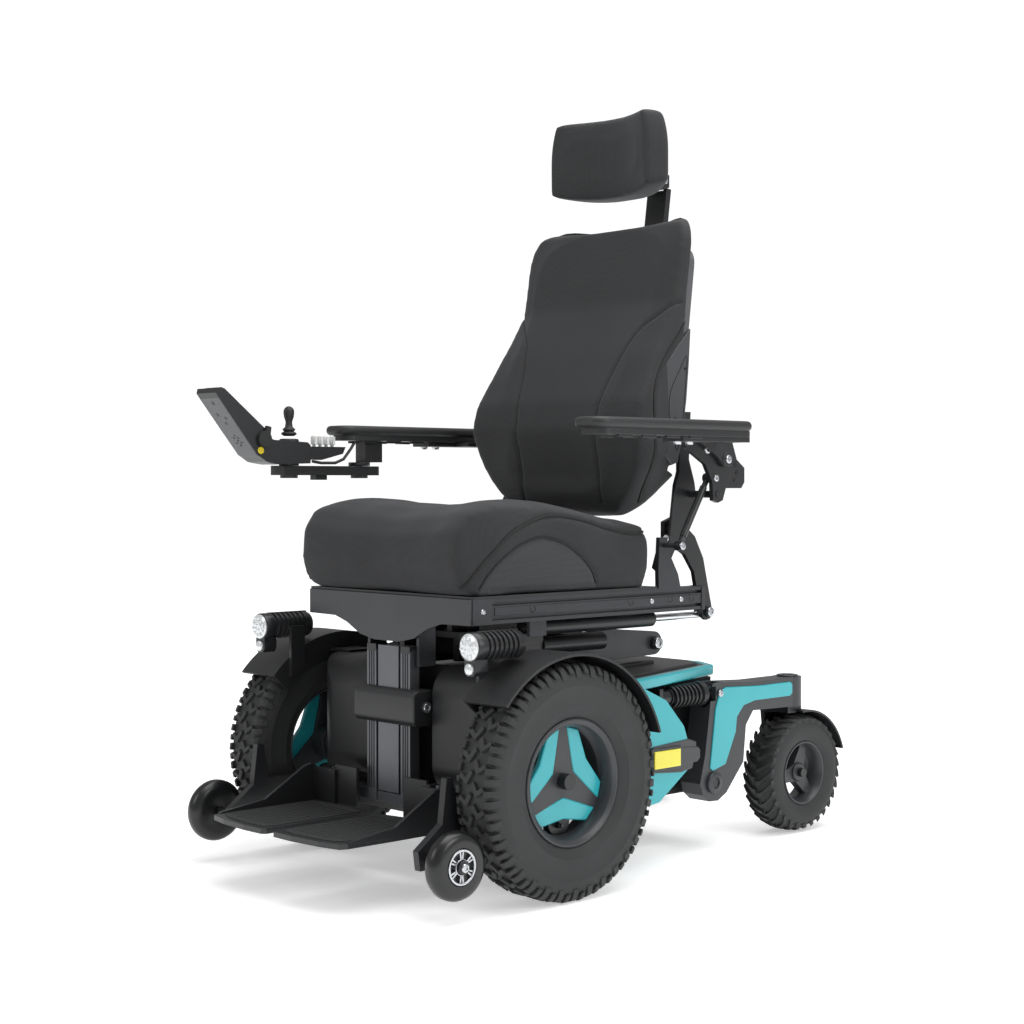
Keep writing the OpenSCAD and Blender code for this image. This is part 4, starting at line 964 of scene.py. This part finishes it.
bm = bmesh.new()
drawn(bm, "X", -181, 181, [(306, 562), (288, 582), (274, 640), (257, 707), (269, 756), (314, 839), (367, 925),
                           (394, 1040), (402, 1068), (424, 1076), (500, 1076), (480, 660), (400, 640),
                           (368, 606), (352, 580), (334, 560)])
back = cushion("back_cushion_cover", bm, "back", "cover", ["back_cushion"],
               back_form, back_hold, cap=12, soften=12)
SEAM = [(186, 372, 925), (168, 380, 905), (132, 355, 868), (112, 330, 815), (101, 306, 765), (96, 290, 715),
        (94, 285, 670), (93, 290, 620), (93, 300, 588)]
for side, tag in ((1, "left"), (-1, "right")):
    seam = [(side * x, y, z) for x, y, z in SEAM]
    press(back, line_on(back, seam, (0, 1, -0.1)), 2.6, 4.2)
    press(back, line_on(back, seam, (0, 1, -0.1)), 1.2, 1.8)
    braid("back_seam_" + tag, line_on(back, seam, (0, 1, -0.1)), 0.75, "back", "piping", 0.1)
    rim = [(side * 186, y, z) for y, z in [(330, 590), (312, 620), (306, 680), (302, 725), (303, 756),
                                           (314, 790), (346, 835), (384, 880), (405, 925),
                                           (414, 985), (418, 1040)]]
    edge = line_on(back, rim, (-side, 0, 0))
    press(back, edge, 2.0, 4.0)
    braid("back_piping_" + tag, line_on(back, rim, (-side, 0, 0)), 2.4, "back", "piping", 0.6)

# %% [markdown]
# The headrest pad is bent round the back of the head, thick in its middle and rounded at
# every edge. A hinge block joins it to the post, with a bright screw on each side.

# %% Headrest pad
def head_form(x, y, z):
    t = min(1.0, abs(x) / 130)
    if z < 1192:
        return x, y, 1192 + (z - 1192) * (1 - 0.22 * t ** 3)
    return x * (1 - 0.11 * ((z - 1192) / 70) ** 2), y, 1192 + (z - 1192) * (1 - 0.08 * t ** 3)

bm = bmesh.new()
arc = [(x, 414 - 40 * (x / 115) ** 2) for x in range(-118, 119, 10)]
arc += [(x, 466 - 54 * (x / 134) ** 2) for x in range(134, -135, -10)]
drawn(bm, "Z", 1119, 1264, arc)
head = cushion("headrest_cover", bm, "head_rest", "cover", ["headrest_pad"], head_form,
               voxel=5.0, cap=6, soften=10)
for z in (1146, 1240):
    rim = []
    for k in range(25):
        a = math.radians(-52 + 104 / 24 * k)
        rim.append((math.sin(a) * 170, 350 + math.cos(a) * 170, z))
    # the seam runs round the rear of the pad
    ring = []
    tree = BVHTree.FromObject(head, bpy.context.evaluated_depsgraph_get())
    for p in rim:
        start, goal = at(*p), at(0, 350, z)
        hit = tree.ray_cast(start, (goal - start).normalized())
        if hit[0]:
            ring.append((hit[0], hit[1]))
    press(head, ring, 1.6, 3.5)
bm = bmesh.new()
rod(bm, "X", -14.5, 14.5, (526, 1161), 9, 9, 32)
drawn(bm, "X", -14.5, 14.5, [(526, 1152), (526, 1170), (486, 1174), (486, 1148)])
drawn(bm, "Y", 458, 492, [(-32, 1142), (32, 1142), (36, 1160), (32, 1180), (-32, 1180), (-36, 1160)])
piece("headrest_hinge", bm, "head_rest", "powder", bevel=1.2)
screws("headrest_screws", "head_post", "steel", [("X", s, (s * 23, 526, 1161), 6, 3) for s in (1, -1)])

# %% [markdown]
# Each arm pad is skin foam on a stiff rail. Its top is a long crowned cushion whose edge
# rolls over, so it is built from a bevelled outline and not by the simulation.

# %% Arm pads
def arm_pad(side, tag, node):
    s = side
    bm = bmesh.new()
    plan = []
    for cx, cy, a0 in ((315, 374, 0), (297, 374, 90), (297, 57, 180), (315, 57, 270)):
        for k in range(7):
            a = math.radians(a0 + 15 * k)
            plan.append((s * (cx + 25 * math.cos(a)), cy + 25 * math.sin(a)))
    drawn(bm, "Z", 704, 720.5, plan)
    ob = piece("arm_pad_" + tag, bm, "armpad_" + tag, "foam", stands_for=[node])
    mod = ob.modifiers.new("rolled edge", "BEVEL")
    mod.width, mod.segments, mod.limit_method, mod.angle_limit = 0.0075, 6, "ANGLE", math.radians(60)
    mod.harden_normals = False
    bm = bmesh.new()
    rail = []
    for cx, cy, a0 in ((317, 381, 0), (295, 381, 90), (295, 62, 180), (317, 62, 270)):
        for k in range(5):
            a = math.radians(a0 + 22.5 * k)
            rail.append((s * (cx + 16 * math.cos(a)), cy + 16 * math.sin(a)))
    drawn(bm, "Z", 694.5, 704.5, rail)
    x0, x1 = sorted((s * 283, s * 327))
    block(bm, x0, x1, 232, 394, 686.3, 694.6)
    x0, x1 = sorted((s * 251, s * 284))
    block(bm, x0, x1, 300, 394, 686.3, 694.2)
    for y in (84, 138, 192, 246):
        for x in (283, 323):
            x0, x1 = sorted((s * x, s * (x + 6)))
            block(bm, x0, x1, y, y + 30, 690.5, 695)
    cheek = [(340, 694), (394, 694), (432, 670), (432, 654), (424, 648), (412, 648), (396, 664)]
    drawn(bm, "X", s * 251.3, s * 259, cheek)
    ring = [(-0.5, 12), (9, 12), (9.6, 11.4), (9.6, 6.2), (-0.5, 6.2), (-0.5, 12)]
    turned(bm, [(s * a, r) for a, r in ring],
           (s * 251.3, 419, 660), "X", steps=40)
    if s < 0:
        block(bm, -320, -292, 94, 132, 657, 694.2)
        turned(bm, [(650.4, 6.2), (650.4, 18.6), (651, 19), (656.4, 19), (657, 18.4), (657, 0.01)],
               (-306, 91, 0), "Z", steps=40)
        rod(bm, "Z", 634, 657, (-306, 91), 6, 6, 24)
    piece("arm_rail_" + tag, bm, "armpad_" + tag, "shell", bevel=1.2, cuts=2)
    screws("arm_rail_screws_" + tag, "armpad_" + tag, "steel",
           [("Z", -1, (s * 306, 241, 686.3), 6.5, 5), ("Z", -1, (s * 306, 269, 686.3), 6.5, 5),
            ("X", 1 * s, (s * 260.8, 419, 660), 7, 3)])

arm_pad(1, "l", "armrest_pad_left")
arm_pad(-1, "r", "armrest_pad_right")

# %% [markdown]
# ## Back shell
# The shell is a bent panel of grey ABS with rounded corners. Its outline is drawn flat,
# cut into upright strips so that it can bend, laid on the bend's circle, leaned back and
# then given its wall thickness. On each side a lighter panel closes the gap to the
# cushion; it has a thin dark line round a raised field and two small screws.

# %% Back shell and side panels
bm = bmesh.new()
outline = []
for cx, cz, a0, r in ((150, 988, 0, 36), (-150, 988, 90, 36), (-150, 690, 180, 41), (150, 690, 270, 41)):
    for k in range(9):
        a = math.radians(a0 + 90 / 8 * k)
        outline.append((cx + r * math.cos(a), cz + r * math.sin(a)))
bm.faces.new([bm.verts.new(at(x, 0, z)) for x, z in outline])
for x in range(-184, 190, 8):
    bmesh.ops.bisect_plane(bm, geom=bm.verts[:] + bm.edges[:] + bm.faces[:], plane_co=at(x, 0, 0),
                           plane_no=(1, 0, 0))
for v in bm.verts:
    x, _, z = mm(v.co)
    v.co = at(*leaned(x, SHELL_Y + math.sqrt(444.5 ** 2 - x * x), z))
bmesh.ops.recalc_face_normals(bm, faces=bm.faces)
if sum(f.normal.y for f in bm.faces) < 0:
    bmesh.ops.reverse_faces(bm, faces=bm.faces)
bmesh.ops.solidify(bm, geom=bm.verts[:] + bm.edges[:] + bm.faces[:], thickness=0.0115)
piece("back_shell_panel", bm, "back", "rear_abs", bevel=2.0, cuts=3, stands_for=["back_shell"],
      sharp=50)
bm = bmesh.new()
for x in (-96, 96):
    spot = SHELL_Y + math.sqrt(444.5 ** 2 - x * x)
    for half, near, far, low, high in ((12, -1, 6, 700, 1000), (4, 5, 7.5, 714, 986)):
        for v in block(bm, x - half, x + half, spot + near, spot + far, low, high):
            v.co = at(*leaned(*mm(v.co)))
piece("back_shell_rails", bm, "back", "rail", bevel=1.0)

for side, tag in ((1, "left"), (-1, "right")):
    field = [(404, 880), (372, 850), (338, 812), (318, 782), (310, 752), (309, 724), (318, 700), (334, 674),
             (356, 650), (372, 655), (384, 700), (394, 760), (400, 820)]
    bm = bmesh.new()
    drawn(bm, "X", side * 186, side * 191.6, field)
    piece("back_side_panel_" + tag, bm, "back", "rear_abs", bevel=1.6, cuts=3)
    inner = [(394, 832), (374, 806), (356, 778), (350, 752), (352, 722), (362, 692), (370, 676), (380, 700),
             (388, 760)]
    loop = [(at(side * 191.8, y, z), Vector((side, 0, 0))) for y, z in inner]
    smooth = []
    n = len(loop)
    for i in range(n):
        p0, p1, p2, p3 = (loop[(i + j - 1) % n][0] for j in range(4))
        for k in range(8):
            t = k / 8
            smooth.append((0.5 * (2 * p1 + (p2 - p0) * t + (2 * p0 - 5 * p1 + 4 * p2 - p3) * t * t
                                  + (3 * p1 - p0 - 3 * p2 + p3) * t ** 3), Vector((side, 0, 0))))
    braid("back_panel_line_" + tag, smooth, 0.7, "back", "piping", -0.1, closed=True)
    screws("back_panel_screws_" + tag, "back", "spring",
           [("X", side, (side * 191.4, 390, 812), 3, 1.8), ("X", side, (side * 191.4, 366, 728), 3, 1.8)])

# %% [markdown]
# ## Footplates
# Each plate is a tray of black polycarbonate with a ribbed rubber mat let into its floor.
# The mat is a flat outline with a rolled edge, and shallow ribs run along the foot.

# %% Footplate mats and rims
for side, tag in ((1, "l"), (-1, "r")):
    bm = bmesh.new()
    mat = [(20, -134), (20, -300), (26, -314), (60, -317), (112, -313), (138, -306), (148, -296), (151, -218),
           (151, -130), (62, -126), (40, -130)]
    drawn(bm, "Z", 105.4, 107.6, [(side * x, y) for x, y in mat])
    piece("footplate_mat_" + tag, bm, "foot_" + tag, "mat", bevel=1.0, cuts=3)
    bm = bmesh.new()
    for k in range(12):
        x = side * (28 + k * 10.4)
        front = -300 if k < 9 else -290
        x0, x1 = sorted((x, x + side * 4))
        block(bm, x0, x1, front, -142, 107.0, 108.4)
    piece("footplate_ribs_" + tag, bm, "foot_" + tag, "mat", bevel=0.5)
    screws("footplate_pivot_" + tag, "foot_" + tag, "steel",
           [("X", side, (side * 121, -96, 150), 5, 2)])

# %% [markdown]
# ## Seat frame
# A dark strip fills the slot along the outside of each rail, and black caps close its ends.
# Bright ring-head screws hold the caps and the seat plate. Four dark slots lie along the
# front edge of the plate. The lift's arms turn on bright pins.

# %% Rails, pins and small screws
bm = bmesh.new()
for side in (1, -1):
    x0, x1 = sorted((side * 172.5, side * 199.6))
    block(bm, x0, x1, -95, -56, 407.4, 447.4)
    block(bm, x0, x1, 424, 432, 407.4, 447.4)
    x0, x1 = sorted((side * 198.0, side * 199.2))
    block(bm, x0, x1, -50, 418, 420.6, 433.4)
piece("rail_caps", bm, "seat", "rail", bevel=2.4, cuts=3)
ring_screws = [("X", s, (s * 199.0, y, 427.5), 4.6, 1.4) for s in (1, -1) for y in (-74, 300, 372)]
screws("rail_ring_screws", "seat", "steel", ring_screws)
bm = bmesh.new()
for s in (1, -1):
    for y in (30, 250, 345, 398):
        turned(bm, [(s * a, r) for a, r in [(0.9, 4.2), (1.6, 4.4), (1.8, 5.6), (1.2, 6.2), (0.2, 6.2)]],
               (s * 198, y, 427.5), "X", steps=28)
piece("rail_hole_rims", bm, "seat", "spring")
bm = bmesh.new()
for x in (-128, -44, 44, 128):
    block(bm, x - 13, x + 13, -92, -84, 449.6, 451.4)
piece("plate_slots", bm, "seat", "urethane", bevel=0.4)
screws("lift_pins", "lift_lower", "steel", [("X", s, (s * 120, 400.9, 347), 10, 5) for s in (1, -1)]
       + [("X", s, (s * 112, 5, 340), 9, 4) for s in (1, -1)])
screws("tilt_pins", "seat", "steel", [("X", s, (s * 88, 400, 398), 7, 4) for s in (1, -1)])
screws("back_pins", "back", "steel",
       [("X", 1, (188, 335, 491), 9, 4), ("X", 1, (188, 353, 489), 6, 3), ("X", 1, (188, 364, 461), 6, 3),
        ("X", 1, (188, 345, 529), 6, 3), ("X", -1, (-188, 335, 491), 9, 4), ("X", -1, (-188, 345, 529), 6, 3),
        ("X", 1, (176, 472, 400), 8, 4)])
screws("strut_pins", "seat", "steel", [("X", s, (s * 239, 329, 518), 6.5, 3) for s in (1, -1)])
for tag, s in (("l", 1), ("r", -1)):
    screws("arm_bracket_screws_" + tag, "armrest_" + tag, "steel",
           [("X", s, (s * 250, 377, 676), 7, 4), ("X", s, (s * 250, 400, 629), 6, 3)])
    bm = bmesh.new()
    for a0 in (-60, -18, 24):
        path = [polar(a0 + 5 * k, 21) for k in range(6)] + [polar(a0 + 25 - 5 * k, 15.5) for k in range(6)]
        drawn(bm, "X", s * 249.4, s * 250.9, [(a + 436, b + 640) for a, b in path])
    piece("arm_bracket_slots_" + tag, bm, "armrest_" + tag, "urethane", bevel=0.3)
    screws("caster_arm_screws_" + tag, "arm_" + tag, "casting", [("X", s, (s * 213, 440, 115), 18, 5)])
    screws("caster_stem_cap_" + tag, "arm_" + tag, "casting", [("Z", 1, (s * 190, 667, 277), 19, 3)])
    screws("shock_eye_screw_" + tag, "arm_" + tag, "steel", [("X", s, (s * 214, 455, 265), 6, 3)])

# %% [markdown]
# ## Legrest
# The grey column is an anodised extrusion with a satin clamp round it. A socket screw in
# the clamp's side sets the length, and fine grooves run down the face of the sliding bars.

# %% Legrest trims
bm = bmesh.new()
cover = []
for cy, cz, a0 in ((-69, 289, 0), (-94, 289, 90), (-94, 256, 180), (-69, 256, 270)):
    for k in range(6):
        a = math.radians(a0 + 18 * k)
        cover.append((cy + 11 * math.cos(a), cz + 12 * math.sin(a)))
drawn(bm, "X", -74.5, 74.5, cover)
piece("legrest_clamp_cover", bm, "leg", "shell", bevel=3.0, cuts=4)
screws("legrest_screws", "leg", "steel", [("X", 1, (77, -80, 274), 7.5, 3)])
bm = bmesh.new()
for s in (1, -1):
    for x in (36, 41.5, 47):
        x0, x1 = sorted((s * (x - 0.9), s * (x + 0.9)))
        block(bm, x0, x1, -94.9, -93.5, 138, 356)
    x0, x1 = sorted((s * 30.4, s * 52.6))
    block(bm, x0, x1, -94.4, -74.8, 356, 367)
piece("legrest_grooves", bm, "leg_slide", "powder", bevel=0.3)

# %% [markdown]
# ## Joystick
# The control pod is a dark shell with a lighter underside. A yellow charging socket and
# two groups of small speaker holes sit on that underside, and the panel on its face is a
# dark gloss insert. Rubber bellows on the stick and a boot below it keep the dust out.

# %% Joystick details
bm = bmesh.new()
drawn(bm, "X", -333.4, -278.6, [(-120, 654.6), (-146, 667.2), (-184, 713.2), (-227.4, 767.4), (-224, 770.6),
                                 (-180, 719.6), (-143, 674), (-121, 661), (-98, 657.5), (-98, 651.6)])
piece("joystick_underside", bm, "joy_box", "shell_grey", bevel=1.4, cuts=3)
def stud(bm, x, t, r, lift):
    a, b = Vector((0, -146, 667.2)), Vector((0, -227.4, 767.4))
    d = (b - a).normalized()
    n = Vector((0, -d.z, d.y))
    if n.z > 0:
        n = -n
    p = a.lerp(b, t)
    verts = bmesh.ops.create_cone(bm, cap_ends=True, segments=20, radius1=r / 1000, radius2=r * 0.86 / 1000,
                                  depth=1.4 / 1000)["verts"]
    bmesh.ops.rotate(bm, verts=verts, matrix=n.to_track_quat("Z", "X").to_matrix())
    bmesh.ops.translate(bm, verts=verts, vec=at(x, p.y + n.y * lift, p.z + n.z * lift))
bm = bmesh.new()
for x, t in ((-306, 0.16), (-300, 0.20), (-312, 0.20), (-306, 0.24), (-300, 0.28), (-312, 0.28), (-306, 0.32),
             (-306, 0.52), (-298, 0.60), (-314, 0.66), (-306, 0.84)):
    stud(bm, x, t, 2.2 if t < 0.4 else 3.4, 0.2)
piece("joystick_speaker", bm, "joy_box", "urethane", sharp=50)
bm = bmesh.new()
socket = [(-0.8, 6), (1.6, 6), (2.2, 5.4), (2.2, 4.2), (0.8, 3.8), (0.8, 0.01)]
for way, wall in ((1, -278.6), (-1, -333.4)):
    turned(bm, [(way * a, r) for a, r in socket], (wall, -139, 675), "X", steps=28)
piece("joystick_socket", bm, "joy_box", "yellow")
bm = bmesh.new()
drawn(bm, "X", -330, -282, [(-214, 776.4), (-127, 708.2), (-125.9, 709.6), (-212.8, 777.9)])
piece("joystick_panel", bm, "joy_box", "urethane", bevel=0.5)
bm = bmesh.new()
folds = [(701, 9.5), (703, 12.6), (705, 13.4), (706.5, 12), (708.5, 8.4),
         (710.5, 10.6), (712, 11), (713.5, 9.6), (716, 6.6), (724, 5.6), (728, 6.6), (733, 8.4), (740, 9.2),
         (745, 8.8), (749, 6.2), (751, 3), (751.4, 0.01)]
turned(bm, [(700.6, 8)] + folds, (-306, -61, 0), "Z", steps=48)
piece("joystick_bellows", bm, "joy_stick", "stick", stands_for=["joystick_knob"],
      sharp=60)
bm = bmesh.new()
boot = [(688, 17), (693, 17), (695.4, 15.6), (696, 13.6), (694.4, 12.6), (688, 12.6)]
turned(bm, boot, (-306, -61, 0), "Z", steps=48)
piece("joystick_boot", bm, "joy_box", "stick", sharp=60)
cap = [(686, 3.2), (690, 3.9), (698, 4.25), (701.4, 4.1), (702.6, 3), (703, 0.01)]
for k, letter in enumerate("abcd"):
    bm = bmesh.new()
    turned(bm, cap, (-306, -8 + 13 * k, 0), "Z", steps=24)
    piece("toggle_cap_" + letter, bm, "toggle_" + letter, "white")
